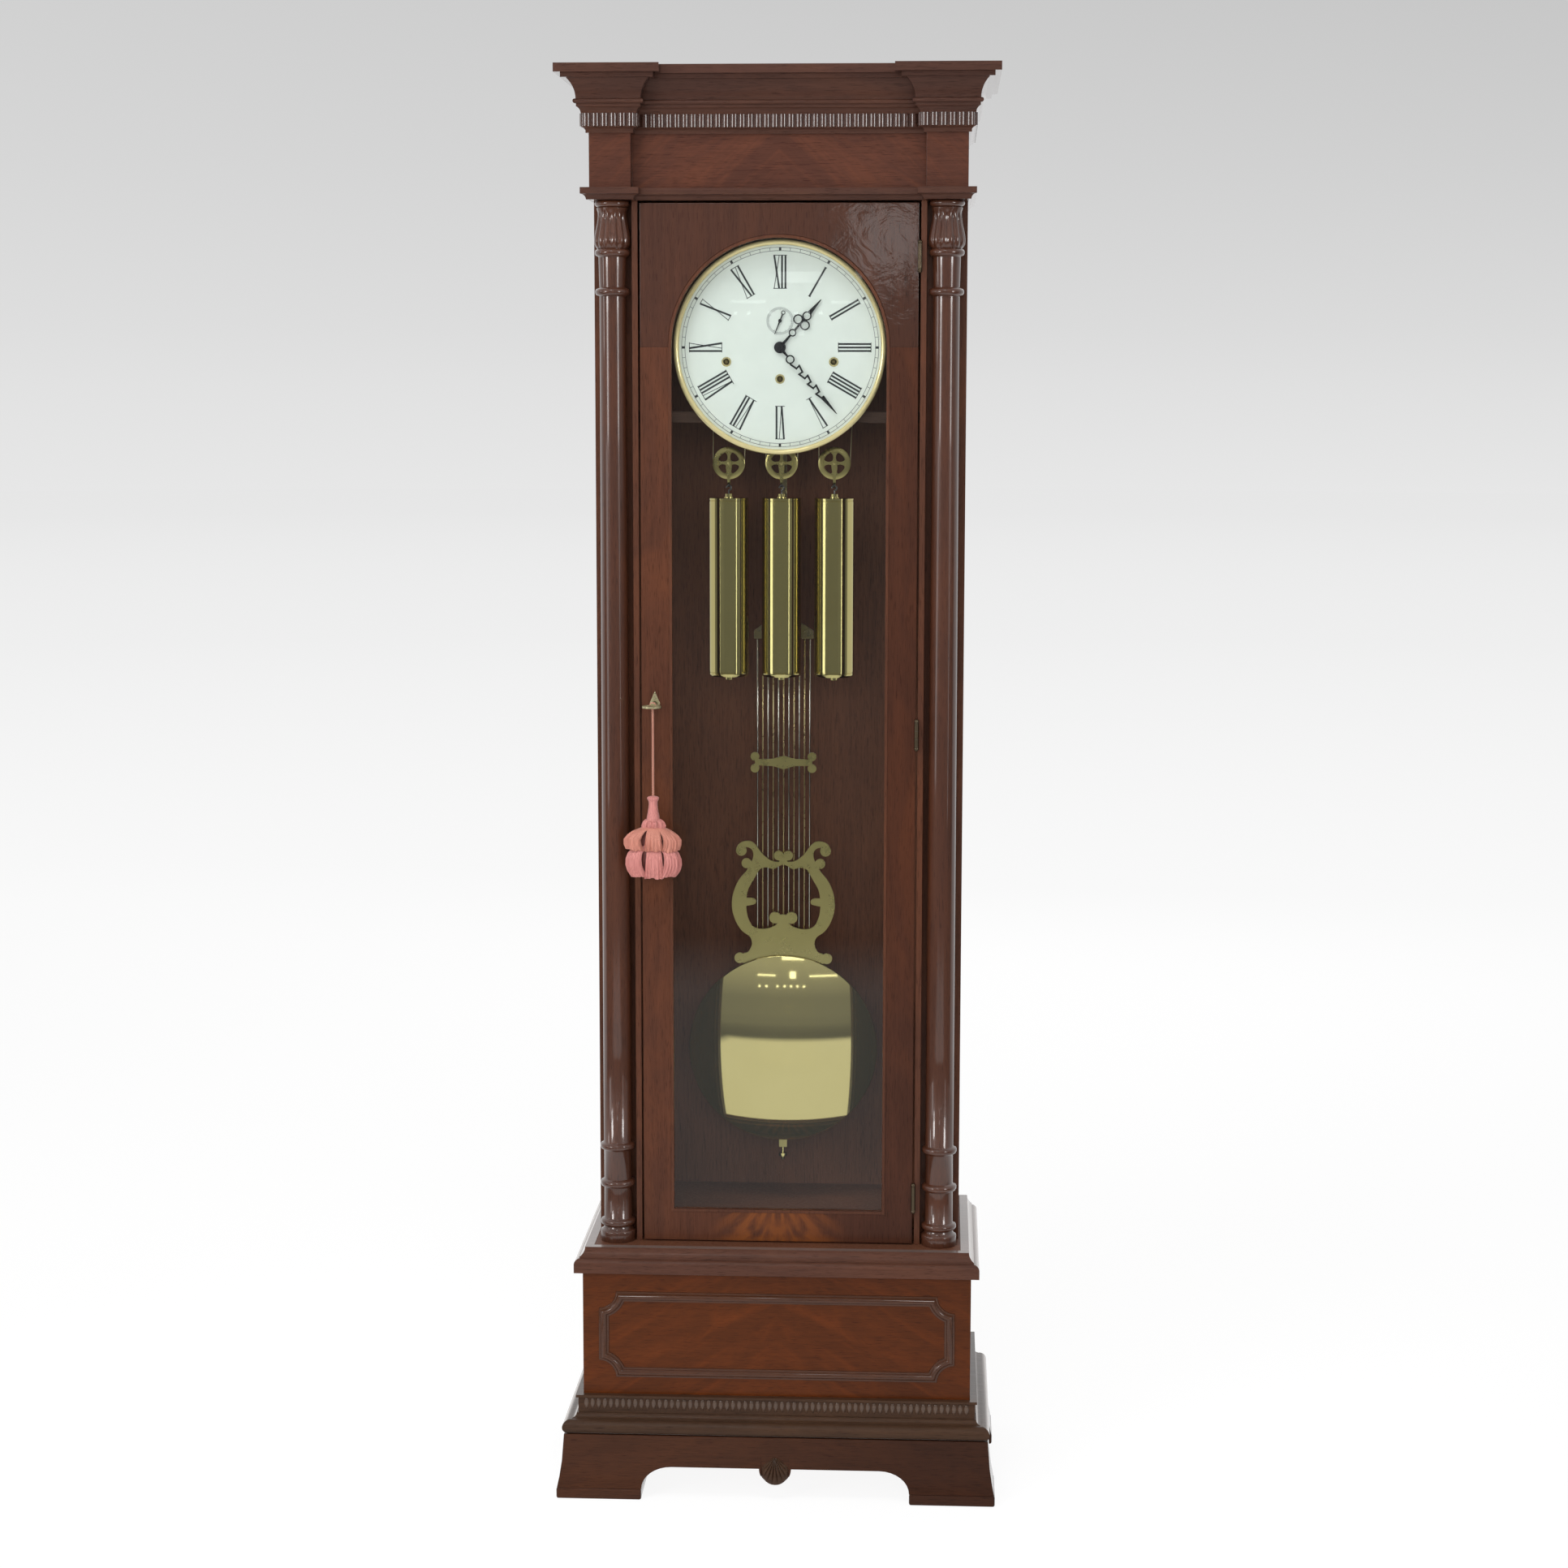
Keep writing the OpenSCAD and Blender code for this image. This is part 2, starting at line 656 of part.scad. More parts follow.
// Dial, with its winding holes and their brass rims.
module dial() color("white") {
  holes = [[-wind_x, wind_z], [wind_x, wind_z], [0, mid_wind_z]];
  difference() {
    bar_y(0, dial_z, dial_r, dial_d, dial_d + dial_t);
    for (h = holes) bar_y(h[0], h[1], wind_hole_r + 1, dial_d - 1, dial_d + 5);
    bar_y(0, dial_z, 6.5, dial_d - 1, dial_d + 5);
    bar_y(0, seconds_z, 2, dial_d - 1, dial_d + 5);
  }
  for (h = holes) difference() {
    union() {
      bar_y(h[0], h[1], wind_hole_r + 1, dial_d - 1, dial_d + dial_t);
      bar_y(h[0], h[1], wind_hole_r + 2.2, dial_d - 1, dial_d);
    }
    bar_y(h[0], h[1], wind_hole_r, dial_d - 2, dial_d + 5);
  }
}

// Turns a section round the dial's axis: X is the radius and Y the depth.
module dial_turn() translate([0, face_y, dial_z]) rotate([-90, 0, 0]) rotate_extrude($fn = 96) children();

module bezel() color("gold") dial_turn() difference() {
  union() {
    translate([bezel_r - bezel_w, bezel_d + bezel_w / 2])
      square([bezel_w, dial_d - bezel_d - bezel_w / 2]);
    intersection() {
      translate([bezel_r - bezel_w / 2, bezel_d + bezel_w / 2]) circle(bezel_w / 2);
      translate([bezel_r - bezel_w, bezel_d]) square([bezel_w, bezel_w / 2]);
    }
  }
  translate([bezel_r - bezel_w - 1, lens_d - 0.35]) square([3.5, dial_d - lens_d + 1.35]);
}

// Domed glass over the dial, held in the bezel's groove.
module dial_glass() color("lightcyan", 0.4) {
  r = bezel_r - bezel_w + 2;
  cap = (r * r + glass_rise * glass_rise) / (2 * glass_rise);
  c = lens_d - glass_rise + cap;
  dial_turn() intersection() {
    difference() {
      translate([0, c]) circle(cap, $fn = 240);
      translate([0, c]) circle(cap - 2, $fn = 240);
    }
    square([r, lens_d]);
  }
}

// Door

module door_stiles() color("sienna") {
  difference() {
    both_sides() board(rebate, door_front, door_z0, door_x - rebate, door_t, dial_z - door_z0);
    bar_y(-key_x, key_z, 3.3, door_front - 1, door_back + 1);
  }
  board(-rebate, door_front, door_z0, 2 * rebate, door_t, sight_z - bead_w - door_z0);
}

module door_arch_head() color("sienna") plate_y(door_front, door_back) difference() {
  translate([-door_x, dial_z]) square([door_w, door_z1 - dial_z]);
  translate([0, dial_z]) circle(rebate, $fn = 96);
}

// The outline of the glazed opening, grown by the given amount.
module opening(grow) {
  translate([0, dial_z]) circle(sight_r + grow, $fn = 96);
  translate([-sight_r - grow, sight_z - grow]) square([2 * (sight_r + grow), dial_z - sight_z + grow]);
}

module glazing_beads() color("peru") {
  plate_y(door_front - 1, glass_d) difference() {
    opening(bead_w - hair);
    opening(0);
  }
  plate_y(stop_d, stop_d + 6) difference() {
    opening(bead_w - hair);
    opening(0);
  }
}

module door_glass() color("lightcyan", 0.3) plate_y(glass_d, stop_d) opening(bead_w - 0.5);

module escutcheon() color("gold") difference() {
  plate_y(door_front - 1.5, door_front) translate([-key_x, key_z - 1]) union() {
    circle(7.5);
    polygon([[-7, 2.5], [7, 2.5], [0, 19]]);
  }
  bar_y(-key_x, key_z, 3.3, door_front - 5, door_front + 2);
}

lock_w = 36;
bolt_travel = 10;

// Brass lock case on the back of the stile, hollow for the key's bit and the bolt.
module lock_case() color("goldenrod") difference() {
  board(-door_x + 1, door_back, key_z - 26, lock_w, 12, 44);
  board(-door_x + 3, door_back + 2, key_z - 12, lock_w - 4, 8, 22);
  board(-door_x - 1, door_back + 2.2, key_z - 17.7, lock_w - 1, 6, 12.4);
  bar_y(-key_x, key_z, 3.3, door_back - 1, door_back + 3);
}

module door_hinges() color("goldenrod") for (z = hinge_zs) {
  third = hinge_l / 3;
  difference() {
    union() {
      at(hinge_x, hinge_d, z - third / 2 + 0.1) cylinder(r = knuckle_r, h = third - 0.2);
      board(door_x, hinge_d, z - third / 2 + 0.1, 1.2, door_front + 18 - hinge_d, third - 0.2);
    }
    at(hinge_x, hinge_d, z - third) cylinder(r = 1.5 + run_gap, h = 2 * third);
  }
}

module case_hinges() color("goldenrod") for (z = hinge_zs) {
  third = hinge_l / 3;
  for (s = [-1, 1]) at(0, 0, z + s * third) {
    difference() {
      union() {
        translate([hinge_x, hinge_d, -third / 2 + 0.1]) cylinder(r = knuckle_r, h = third - 0.2);
        translate([jamb_x - 1.2, hinge_d, -third / 2 + 0.1])
          cube([1.2, door_front + 18 - hinge_d, third - 0.2]);
      }
      translate([hinge_x, hinge_d, -third]) cylinder(r = 1.5 + run_gap, h = 2 * third);
    }
    translate([hinge_x, hinge_d, s * (third / 2 + 2.2)]) sphere(r = knuckle_r + 0.3);
  }
  at(hinge_x, hinge_d, z - hinge_l / 2 - 1) cylinder(r = 1.5, h = hinge_l + 2);
}

// Key with a flat bow, its shank and a bit that turns inside the lock.
module lock_key() color("gold") {
  front = tassel_d - 6;
  difference() {
    at(-key_x, front - 11, key_z - 1.5) cylinder(r = 14, h = 3);
    at(-key_x - 6.5, front - 11, key_z - 3) cylinder(r = 4.6, h = 6);
    at(-key_x + 6.5, front - 11, key_z - 3) cylinder(r = 4.6, h = 6);
  }
  bar_y(-key_x, key_z, 2.5, front + 2, door_back + 9);
  bar_y(-key_x, key_z, 4, front + 1, front + 3.4);
  bar_y(-key_x, key_z, 4, tassel_d + 3, tassel_d + 5.4);
  at(-key_x, door_back + 3, key_z) rotate([0, 135, 0]) translate([-1.2, 0, 0]) cube([2.4, 5, 8]);
}

module lock_bolt() color("goldenrod") difference() {
  board(-door_x + 0.5, door_back + 2.4, key_z - 17.4, lock_w - 6, 5.6, 12);
  at(-key_x + 2.6, door_back, key_z - 9.2) cube([5.3, 12, 8]);
}

// Tassel

// Cord from a loop round the key down to the head of the tassel.
module tassel_cord() color("lightsalmon") {
  loop_r = 2.8 + cord_d / 2;
  at(-key_x, tassel_d, key_z - loop_r) mirror([0, 0, 1]) cylinder(r = cord_d / 2, h = cord_l - loop_r);
  at(-key_x, tassel_d, key_z) rotate([90, 0, 0]) rotate_extrude() translate([loop_r, 0])
    circle(cord_d / 2);
}

tassel_top = key_z - cord_l;

// Head, ruffle and two flared tufts, which lie flatter than they are wide.
module key_tassel() color("salmon") at(-key_x, tassel_d, tassel_top - 150) {
  rotate_extrude() polygon([[0, 150], [8.8, 149], [8.8, 145.5], [6.4, 141], [6.8, 132],
    [9.6, 119], [9.8, 112], [0, 112]]);
  scale([1, 0.56, 1]) rotate_extrude($fn = 72) polygon([[0, 114], [13, 114], [17, 110], [17.4, 104],
    [20, 101.5], [30, 98], [40, 90], [43, 83.5], [41, 77], [36, 69.5], [33, 68.5], [37, 66],
    [40.5, 60], [42.5, 50], [41, 40], [36, 31], [28, 25.5], [0, 24]]);
}

// Hands

module boss(z, r, d0, d1) bar_y(0, z, r, d0, d1);

// A hand's outline lies along +Y from its hub and is turned clockwise by the angle.
module hand(z, d0, d1, a) translate([0, 0, z]) rotate([0, a, 0]) plate_y(d0, d1) children();

module ring2(x, y, r, w) translate([x, y]) difference() {
  circle(r);
  circle(r - w);
}

module hour_hand() color("black") difference() {
  union() {
    hand(dial_z, 51.4, 52.4, 41) union() {
      circle(8.5);
      polygon([[-2.2, 6], [2.2, 6], [1.4, 24], [-1.4, 24]]);
      ring2(0, 28, 5.6, 1.8);
      polygon([[-1.6, 31.9], [1.6, 31.9], [1.6, 54.6], [-1.6, 54.6]]);
      for (s = [-1, 1]) ring2(s * 6.6, 48, 7.2, 1.9);
      ring2(0, 60, 6.6, 1.8);
      polygon([[-3.2, 64.5], [3.2, 64.5], [0.6, hour_l], [-0.6, hour_l]]);
    }
    boss(dial_z, 6, 51.4, 66);
  }
  boss(dial_z, hour_bore, 50, 67);
}

module minute_hand() color("black") {
  n = 7;
  difference() {
    union() {
      hand(dial_z, 49.6, 50.6, 139) union() {
        circle(7);
        polygon([[-2.2, 5], [2.2, 5], [1.3, 18], [-1.3, 18]]);
        ring2(0, 23, 6.5, 1.9);
        for (i = [0 : n - 1]) translate([(i % 2 == 0 ? 3 : -3), 34 + i * 9.4])
          rotate([0, 0, i % 2 == 0 ? 14 : -14]) square([2.6, 13], center = true);
        for (i = [0 : n - 2]) translate([(i % 2 == 0 ? -0.5 : 0.5), 38.7 + i * 9.4])
          square([7, 2.4], center = true);
        polygon([[-3.2, 94], [3.2, 94], [0.5, minute_l], [-0.5, minute_l]]);
      }
      boss(dial_z, 4, 49.6, 70);
      boss(dial_z, 3.6, 48.2, 49.6);
    }
    boss(dial_z, arbor_r + run_gap, 51, 71.5);
  }
  wheel_at(0, dial_z, 69.3, 1.4) gear(16, motion_m * 8 + 0.6, 1.6, 0, 3, 3.8);
}

module seconds_hand() color("black") difference() {
  union() {
    hand(seconds_z, 53.2, 54, 202) union() {
      circle(2.6);
      polygon([[-1.1, 0], [1.1, 0], [0.4, 21], [-0.4, 21]]);
      polygon([[-0.9, 0], [-0.9, -11], [0.9, -11], [0.9, 0]]);
      ring2(0, -12.5, 3.2, 1.2);
    }
    boss(seconds_z, 1.9, 53.2, 60);
  }
  boss(seconds_z, 1, 55, 61);
}

// Wheels

// Outline of a wheel with pointed teeth, spokes and a bore.
module gear(teeth, r_out, depth, spokes, hub, bore) {
  p = 360 / teeth;
  difference() {
    polygon([for (i = [0 : teeth - 1]) for (k = [[-0.3, r_out - depth], [-0.13, r_out],
      [0.13, r_out], [0.3, r_out - depth]]) let (a = (i + k[0]) * p) [k[1] * sin(a), k[1] * cos(a)]]);
    circle(bore);
    if (spokes > 0) difference() {
      circle(r_out - depth - 2.5);
      circle(hub);
      for (i = [0 : spokes - 1]) rotate([0, 0, i * 360 / spokes]) translate([-1.2, 0])
        square([2.4, r_out]);
    }
  }
}

// Puts a wheel's outline on an arbor at the height z.
module wheel_at(x, z, d, t) at(x, d + t, z) rotate([90, 0, 0]) linear_extrude(t) children();

module hour_wheel() color("goldenrod") {
  wheel_at(0, dial_z, 66, 1.6) gear(48, hour_m * 24 + 0.6, 1.6, 0, 5, hour_bore);
}

module minute_wheel() color("goldenrod") {
  bore = 1.5 + run_gap;
  wheel_at(motion_x, dial_z, 69.2, 1.6) rotate(90 - 180 / 48) gear(48, motion_m * 24 + 0.6, 1.6, 4, 5, bore);
  wheel_at(motion_x, dial_z, 65.8, 3.5) rotate(90 - 180 / 12) gear(12, hour_m * 6 + 0.6, 1.6, 0, 3, bore);
}

module centre_wheel() color("goldenrod") {
  wheel_at(0, dial_z, 77, 2) gear(64, 27, 1.8, 5, 6, arbor_r - 0.3);
  bar_y(0, dial_z, arbor_r, 52, back_plate_d + plate_t + 1);
  bar_y(0, dial_z, 5, 79, 90);
}

module escape_wheel() color("goldenrod") {
  bar_y(0, seconds_z, 0.95, 55.5, plate_d - 2);
  bar_y(0, seconds_z, arbor_r, plate_d - 2, back_plate_d + plate_t + 1);
  wheel_at(0, seconds_z, 100, 1.6) difference() {
    polygon([for (i = [0 : 29]) for (k = [[0, 17], [0.06, 20], [0.2, 20], [0.55, 17]])
      let (a = (i + k[0]) * 12) [k[1] * sin(a), k[1] * cos(a)]]);
    difference() {
      circle(14.5);
      circle(4.5);
      for (i = [0 : 3]) rotate([0, 0, i * 90]) translate([-1, 0]) square([2, 20]);
    }
    circle(arbor_r - 0.3);
  }
  bar_y(0, seconds_z, 4, 101.6, 108);
}

// Anchor, its arbor and the crutch that steers the pendulum.
module verge() color("silver") {
  wheel_at(0, anchor_z, 99.5, 3) difference() {
    union() {
      circle(5);
      for (s = [-1, 1]) polygon([[0, 3], [s * 20, -8], [s * 24, -17.4], [s * 20.5, -17.4],
        [s * 16.5, -9], [0, -4]]);
    }
    circle(arbor_r - 0.3);
  }
  bar_y(0, anchor_z, arbor_r, plate_d + 0.5, back_plate_d + plate_t + 9);
  board(-2, back_plate_d + plate_t + 5, anchor_z - 84, 4, 2.5, 84);
  board(-9, back_plate_d + plate_t + 5, anchor_z - 87, 18, 2.5, 5);
  for (s = [-1, 1]) board(s * 7 - 2, back_plate_d + plate_t + 5, anchor_z - 87, 4,
    pend_d + 6 - back_plate_d - plate_t - 5, 5);
}

// A drum with its flanges, grooves for the cable, ratchet wheel, arbor and winding square.
module drum(x, z) color("goldenrod") {
  d0 = weight_d - drum_l / 2;
  difference() {
    union() {
      bar_y(x, z, line_r, d0, d0 + drum_l);
      bar_y(x, z, line_r + 2.5, d0, d0 + 1.6);
      bar_y(x, z, line_r + 2.5, d0 + drum_l - 1.6, d0 + drum_l);
    }
    for (i = [0 : 10]) translate([x, face_y + d0 + 6 + i * 2.8, z]) rotate([90, 0, 0])
      rotate_extrude() translate([line_r, 0]) circle(0.7);
  }
  wheel_at(x, z, d0 + drum_l + 1, 2) gear(40, line_r + 5, 2, 0, 4, arbor_r - 0.3);
  bar_y(x, z, 5, d0 + drum_l, d0 + drum_l + 1);
  bar_y(x, z, arbor_r, plate_d - 2, back_plate_d + plate_t + 1);
  board(x - 1.9, dial_d - 2, z - 1.9, 3.8, plate_d - dial_d, 3.8);
}

module left_drum() drum(-wind_x, wind_z);
module centre_drum() drum(0, mid_wind_z);
module right_drum() drum(wind_x, wind_z);

// Weights, pulleys and cables

// Two falls of cable: one straight up to the drum, one up to its post between the plates.
module cable(x, z) color("gold") {
  rise = z - post_r - seat_gap - pulley_z;
  lean = post_x - fall_x;
  at(x - fall_x, weight_d, pulley_z) cylinder(r = cable_r, h = rise);
  at(x + fall_x, weight_d, pulley_z) rotate([0, atan2(lean, rise), 0])
    cylinder(r = cable_r, h = norm([lean, rise]));
}

module left_cable() cable(-wind_x, wind_z);
module centre_cable() cable(0, mid_wind_z);
module right_cable() cable(wind_x, wind_z);

// A grooved pulley with four curved spokes.
module pulley(x) color("gold") {
  w = 6;
  at(x, weight_d, pulley_z) rotate([90, 0, 0]) {
    rotate_extrude() difference() {
      translate([pulley_r - 7.5, -w / 2]) square([7.5, w]);
      translate([pulley_r + 0.4, 0]) circle(2.4);
    }
    difference() {
      translate([0, 0, -w / 2]) cylinder(r = 4.6, h = w);
      translate([0, 0, -w]) cylinder(r = 2 + run_gap, h = 2 * w);
    }
    for (i = [0 : 3]) rotate([0, 0, i * 90]) translate([0, 0, -1.2]) linear_extrude(2.4) difference() {
      polygon([[-2.6, 3.9], [2.6, 3.9], [2.6, pulley_r - 7.1], [-2.6, pulley_r - 7.1]]);
      translate([15.2, 11.5]) circle(13.4);
      translate([-15.2, 11.5]) circle(13.4);
    }
  }
}

module left_pulley() pulley(-wind_x);
module centre_pulley() pulley(0);
module right_pulley() pulley(wind_x);

// A brass shell with its end caps, the hook above it and the yoke that carries the pulley.
module weight(x) color("gold") {
  z = weight_top_z;
  at(x, weight_d, z - weight_l) {
    cylinder(r = weight_r, h = weight_l);
    translate([0, 0, -2]) cylinder(r = weight_r - 2, h = 2);
    translate([0, 0, -8]) cylinder(r = 5, h = 6);
    translate([0, 0, weight_l]) cylinder(r = 5.5, h = 6);
    translate([0, 0, weight_l + 6]) cylinder(r = 1.8, h = 6);
  }
  for (s = [-1, 1]) board(x - 2.3, weight_d + s * 4.5 - 0.75, z + 20, 4.6, 1.5, 33);
  board(x - 2.3, weight_d - 5.25, z + 12, 4.6, 10.5, 8);
  bar_y(x, pulley_z, 2, weight_d - 5.25, weight_d + 5.25);
}

module left_weight() weight(-wind_x);
module centre_weight() weight(0);
module right_weight() weight(wind_x);

// Pendulum

module suspension_spring() color("lightsteelblue") {
  board(-5, pend_d - 5, anchor_z + 12 + seat_gap, 10, 10, 6);
  board(-4, pend_d - 0.2, anchor_z - 13, 8, 0.4, 27);
  board(-6, pend_d - 1.5, anchor_z - 20, 12, 3, 8);
}

// Strip from the spring down to the shouldered bracket that carries the rods.
module pendulum_hanger() color("goldenrod") {
  z = hanger_z;
  board(-4.5, pend_d - 1, z + 30, 9, 2, anchor_z - 20 - z - 30);
  plate_y(pend_d - 2, pend_d + 6) polygon([[-45, z], [45, z], [45, z + 12], [34, z + 20],
    [9, z + 32], [-9, z + 32], [-34, z + 20], [-45, z + 12]]);
}

module pendulum_rods() {
  z0 = bob_z + 183;
  for (i = [-5 : 5]) color(i % 2 == 0 ? "silver" : "gold")
    at(i * rod_pitch, pend_d + pend_t / 2 + seat_gap + rod_r, z0) cylinder(r = rod_r, h = hanger_z - z0);
}

// Smooth curve through a row of points, with n short steps between each two.
function knot(p, i) = p[max(0, min(len(p) - 1, i))];
function smooth(p, n) = concat([for (i = [0 : len(p) - 2]) for (k = [0 : n - 1]) let (t = k / n)
  0.5 * (2 * knot(p, i) + (knot(p, i + 1) - knot(p, i - 1)) * t
  + (2 * knot(p, i - 1) - 5 * knot(p, i) + 4 * knot(p, i + 1) - knot(p, i + 2)) * t * t
  + (3 * knot(p, i) - knot(p, i - 1) - 3 * knot(p, i + 1) + knot(p, i + 2)) * t * t * t)],
  [p[len(p) - 1]]);

// Left half of the lyre, drawn for a bob at 645: outer curve from the foot up to the horn, then
// down to the bar.
module lyre_half() {
  arm = [[-63, 777.5], [-62, 791], [-54, 794.5], [-49.5, 802], [-48, 809], [-51.5, 818.5], [-63, 827], [-72.4, 841],
    [-78.5, 861], [-77.5, 883], [-69, 905], [-55, 923], [-47, 939.5], [-46.5, 950],
    [-51, 955.8], [-57.8, 957.5]];
  horn = [[-72.6, 951], [-70.5, 959], [-62.9, 965.5], [-51.3, 966.7], [-43, 961.5],
    [-30.6, 945.6], [-16.3, 935.8], [0, 935.5]];
  window = [[0, 931], [-5.5, 929], [-15, 924], [-27, 926.2], [-36, 923], [-45, 908],
    [-54, 891.5], [-56.6, 875], [-56.6, 862], [-54.3, 848.7], [-48, 836], [-38, 831],
    [-25, 831.2], [-13.2, 835.6], [-6.5, 842]];
  difference() {
    polygon(concat([[0.1, 770]], smooth(arm, 4), [[-64.5, 952]], smooth(horn, 4), [[0.1, 935.5]]));
    polygon(concat([[1, 931]], smooth(window, 4), [[-6.5, 852], [1, 854]]));
  }
  polygon(smooth([[-58, 878.6], [-47, 878.6], [-42, 874.5], [-43, 869.8], [-48.3, 867.8],
    [-58, 866]], 4));
  for (c = [[-64.5, 952, 8.2], [-56.2, 932.4, 7.8], [-66.8, 785, 8.2], [-12.5, 848.2, 9],
    [-7.2, 944.6, 7.4]]) translate([c[0], c[1]]) circle(c[2]);
  translate([-6, 934]) square([6.1, 7]);
}

module lyre_outline() {
  lyre_half();
  mirror([1, 0]) lyre_half();
}

module clamp_half(z) {
  polygon([[0, z + 10.5], [-16, z + 5.5], [-41, z + 4.5], [-41, z - 4.5], [-16, z - 5.5], [0, z - 10.5]]);
  for (s = [-1, 1]) translate([-43.5, z + s * 9]) circle(6.6);
  translate([-43.5, z - 9]) square([5, 18]);
}

// The lyre plate, the strip that runs down behind the bob, and the scrolled clamp above.
module pendulum_lyre() color("gold") {
  d0 = pend_d - pend_t / 2;
  plate_y(d0, d0 + pend_t) translate([0, bob_z - 645]) lyre_outline();
  plate_y(d0, d0 + pend_t) translate([-6, bob_z - bob_r - 12]) square([12, 127 + bob_r + 12]);
  plate_y(d0, d0 + pend_t) {
    clamp_half(clamp_z);
    mirror([1, 0]) clamp_half(clamp_z);
  }
}

// Domed disc in front of the lyre's strip, with two straps that hold it to the strip.
module pendulum_bob() color("gold") {
  face = pend_d - pend_t / 2 - seat_gap;
  rise = 20;
  cap = (bob_r * bob_r + rise * rise) / (2 * rise);
  translate([0, face_y + face, bob_z]) rotate([90, 0, 0]) rotate_extrude($fn = 96) union() {
    intersection() {
      translate([0, 3 + rise - cap]) circle(cap, $fn = 240);
      translate([0, 2.9]) square([bob_r, rise + 1]);
    }
    square([bob_r, 3]);
  }
  for (s = [-1, 1]) difference() {
    board(-12, face, bob_z + s * 60 - 6, 24, 8, 12);
    board(-6.3, face - 1, bob_z + s * 60 - 7, 12.6, 5.7, 14);
  }
}

module rating_nut() color("gold") {
  z = bob_z - bob_r - 12;
  at(0, pend_d, z - 9) cylinder(r = 1.8, h = 9);
  at(0, pend_d, z - 14) cylinder(r = 7, h = 5);
  at(0, pend_d, z - 20) cylinder(r = 3, h = 6);
}

foot_pads();
bracket_aprons();
apron_shell();
base_moulding();
base_panels();
panel_moulding();
waist_moulding();
carcass_boards();
trunk_sides();
turned_columns();
backboard();
frieze();
architrave();
cornice_moulding();
reeded_band();
seat_rails();
chime_rods();
chime_hammers();
case_hinges();
movement_plates();
dial();
bezel();
dial_glass();
door_stiles();
door_arch_head();
glazing_beads();
door_glass();
escutcheon();
lock_case();
door_hinges();
lock_key();
lock_bolt();
tassel_cord();
key_tassel();
hour_hand();
minute_hand();
seconds_hand();
hour_wheel();
minute_wheel();
centre_wheel();
escape_wheel();
verge();
left_drum();
centre_drum();
right_drum();
left_cable();
centre_cable();
right_cable();
left_pulley();
centre_pulley();
right_pulley();
left_weight();
centre_weight();
right_weight();
suspension_spring();
pendulum_hanger();
pendulum_rods();
pendulum_lyre();
pendulum_bob();
rating_nut();
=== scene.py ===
import json
import math
import random

import bmesh
import bpy
from mathutils import Matrix, Vector

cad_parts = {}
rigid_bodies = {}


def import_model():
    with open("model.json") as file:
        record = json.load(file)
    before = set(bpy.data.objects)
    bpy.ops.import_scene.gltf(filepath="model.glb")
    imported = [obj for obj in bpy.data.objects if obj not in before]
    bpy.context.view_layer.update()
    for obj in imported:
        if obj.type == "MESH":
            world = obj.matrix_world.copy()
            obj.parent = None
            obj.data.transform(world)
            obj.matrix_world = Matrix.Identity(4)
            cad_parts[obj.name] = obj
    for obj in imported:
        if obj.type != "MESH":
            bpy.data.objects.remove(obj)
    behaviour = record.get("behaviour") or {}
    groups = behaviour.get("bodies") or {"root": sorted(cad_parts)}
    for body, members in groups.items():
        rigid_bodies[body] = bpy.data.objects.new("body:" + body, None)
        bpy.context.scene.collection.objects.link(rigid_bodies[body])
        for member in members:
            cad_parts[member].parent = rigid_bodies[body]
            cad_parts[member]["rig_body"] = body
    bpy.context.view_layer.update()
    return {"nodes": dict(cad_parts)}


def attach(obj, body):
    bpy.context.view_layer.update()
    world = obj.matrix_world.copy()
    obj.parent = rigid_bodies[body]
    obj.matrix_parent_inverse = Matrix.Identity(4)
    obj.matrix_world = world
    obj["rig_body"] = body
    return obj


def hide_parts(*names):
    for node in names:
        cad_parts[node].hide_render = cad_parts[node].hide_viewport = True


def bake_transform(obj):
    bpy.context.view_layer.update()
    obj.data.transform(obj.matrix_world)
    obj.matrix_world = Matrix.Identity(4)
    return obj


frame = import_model()
nodes = frame["nodes"]
scene = bpy.context.scene
scene.view_settings.view_transform = "Standard"
mm = 0.001
frontPlane = -0.1245  # y of the front of the blocks over the columns
print("frame loaded:", len(nodes), "parts")


def place(x, depth, z):
    # across, behind the front plane and above the floor, all in millimetres
    return Vector((x * mm, frontPlane + depth * mm, z * mm))


# camera

cameraSetup = {
    "position": (0.2333, -4.4229, 1.6526),
    "turn": 0.052,
    "tilt": -0.1328,
    "roll": 0.0014,
    "lens": 67.99,
}


def makeCamera(setup):
    turn, tilt, roll = setup["turn"], setup["tilt"], setup["roll"]
    right = Vector((math.cos(turn), math.sin(turn), 0))
    ahead = Vector((-math.sin(turn), math.cos(turn), 0))
    up = Vector((0, 0, 1))
    look = ahead * math.cos(tilt) + up * math.sin(tilt)
    top = up * math.cos(tilt) - ahead * math.sin(tilt)
    side = right * math.cos(roll) + top * math.sin(roll)
    top = top * math.cos(roll) - right * math.sin(roll)
    data = bpy.data.cameras.new("camera")
    data.lens = setup["lens"]
    data.sensor_width = 36
    data.sensor_fit = "HORIZONTAL"
    data.clip_end = 200
    camera = bpy.data.objects.new("camera", data)
    scene.collection.objects.link(camera)
    turnMatrix = Matrix((side, top, -look)).transposed()
    camera.matrix_world = Matrix.Translation(setup["position"]) @ turnMatrix.to_4x4()
    scene.camera = camera


makeCamera(cameraSetup)


# material helpers

def newMaterial(name):
    material = bpy.data.materials.new(name)
    material.use_nodes = True
    tree = material.node_tree
    shader = tree.nodes["Principled BSDF"]
    return material, tree, shader


